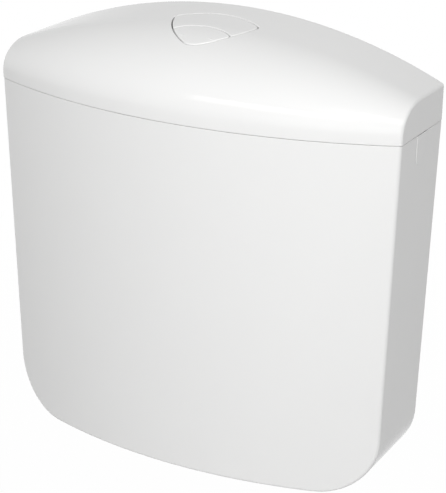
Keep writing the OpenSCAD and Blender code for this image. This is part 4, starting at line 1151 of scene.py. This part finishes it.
# Buttons
# A rear button for the full flush and a smaller front one for the half flush fill the lid's opening and
# follow its curve. Each is a hollow white moulding with two guide stems; one stem takes the push pin.
button_t = 0.003
button_skirt_t = 0.0022
button_low_z = rim_z + 0.054
button_edge_r = 0.0011
top_step = 0.0022
under_step = 0.004
grid_half = 30
grid_rows = 60
grid_back = -0.028
edge_clear = 0.6
stem_r = 0.0042
stem_edge = 0.0003
stem_sink = 0.0017
stem_nose = 0.003
sleeve_l = 0.015
stop_gap = 0.0004
stem_end_z = frame_top - sleeve_l - stop_gap
seat_boss_r = 0.0062
pin_bore_r = 0.00255
pin_bore_l = 0.0115
pin_bore_tip = 0.001
full_stem_y = -0.042
full_seat_drop = 0.007
half_stem_y = -0.082
half_seat_drop = 0.006


def button_piece(node, kind, y, seat_drop, pin_side):
    """One button with its skirt, spring seats and stems."""
    work = bmesh.new()
    loops = []
    for drop, draw_in in quarter_round(button_edge_r, edge_steps):
        loops.append(grown(work, kind, -button_gap - draw_in, drop=drop))
    wall_in = -button_gap - button_skirt_t
    for grow in (-button_gap, wall_in):
        loops.append(grown(work, kind, grow, level=button_low_z))
    loops.append(grown(work, kind, wall_in, button_t))
    loft(work, loops)
    for rim, inset, step in ((loops[0], 0, top_step), (loops[-1], button_t, under_step)):
        outline = [vert.co.xy for vert in rim]
        extra = []
        for i in range(-grid_half, grid_half + 1):
            for k in range(grid_rows):
                spot = Vector((i * step, grid_back - k * step))
                if inside(outline, spot):
                    if min((spot - edge).length for edge in outline) > edge_clear * step:
                        extra.append(work.verts.new((spot.x, spot.y, lid_height(spot.x, spot.y, inset))))
        patch(work, rim, [], extra)
    made = solid(node + "_piece", work)
    stem_work = bmesh.new()
    bore_work = bmesh.new()
    seat_z = lid_height(stem_x, y, 0) - button_t - seat_drop
    for side in (-1, 1):
        spot = Matrix.Translation((side * stem_x, y, 0))
        top = lid_height(stem_x, y, 0) - stem_sink
        foot = [(stem_r - stem_edge, stem_end_z), (stem_r, stem_end_z + stem_edge)]
        if side != pin_side:
            nose = stem_end_z - stem_nose
            foot = [(stem_r / 2, nose), (stem_r / 2, stem_end_z)] + foot
        turned(stem_work, foot + [(stem_r, seat_z), (seat_boss_r - stem_edge, seat_z),
                                  (seat_boss_r, seat_z + stem_edge), (seat_boss_r, top)], spot, steps=48)
        if side == pin_side:
            turned(bore_work, [(pin_bore_r, stem_end_z - over), (pin_bore_r, stem_end_z + pin_bore_l),
                               (0, stem_end_z + pin_bore_l + pin_bore_tip)], spot, steps=32)
    joined(made, solid("stems", stem_work), "UNION")
    joined(made, solid("bore", bore_work), "DIFFERENCE")
    smoothed(made, degrees=32)
    stands_for(made, node)


button_piece("full_button", "full", full_stem_y, full_seat_drop, 1)
button_piece("half_button", "half", half_stem_y, half_seat_drop, -1)
softened("full_stop_clip", dark_grey, fine_edge)
softened("half_stop_clip", dark_grey, fine_edge)
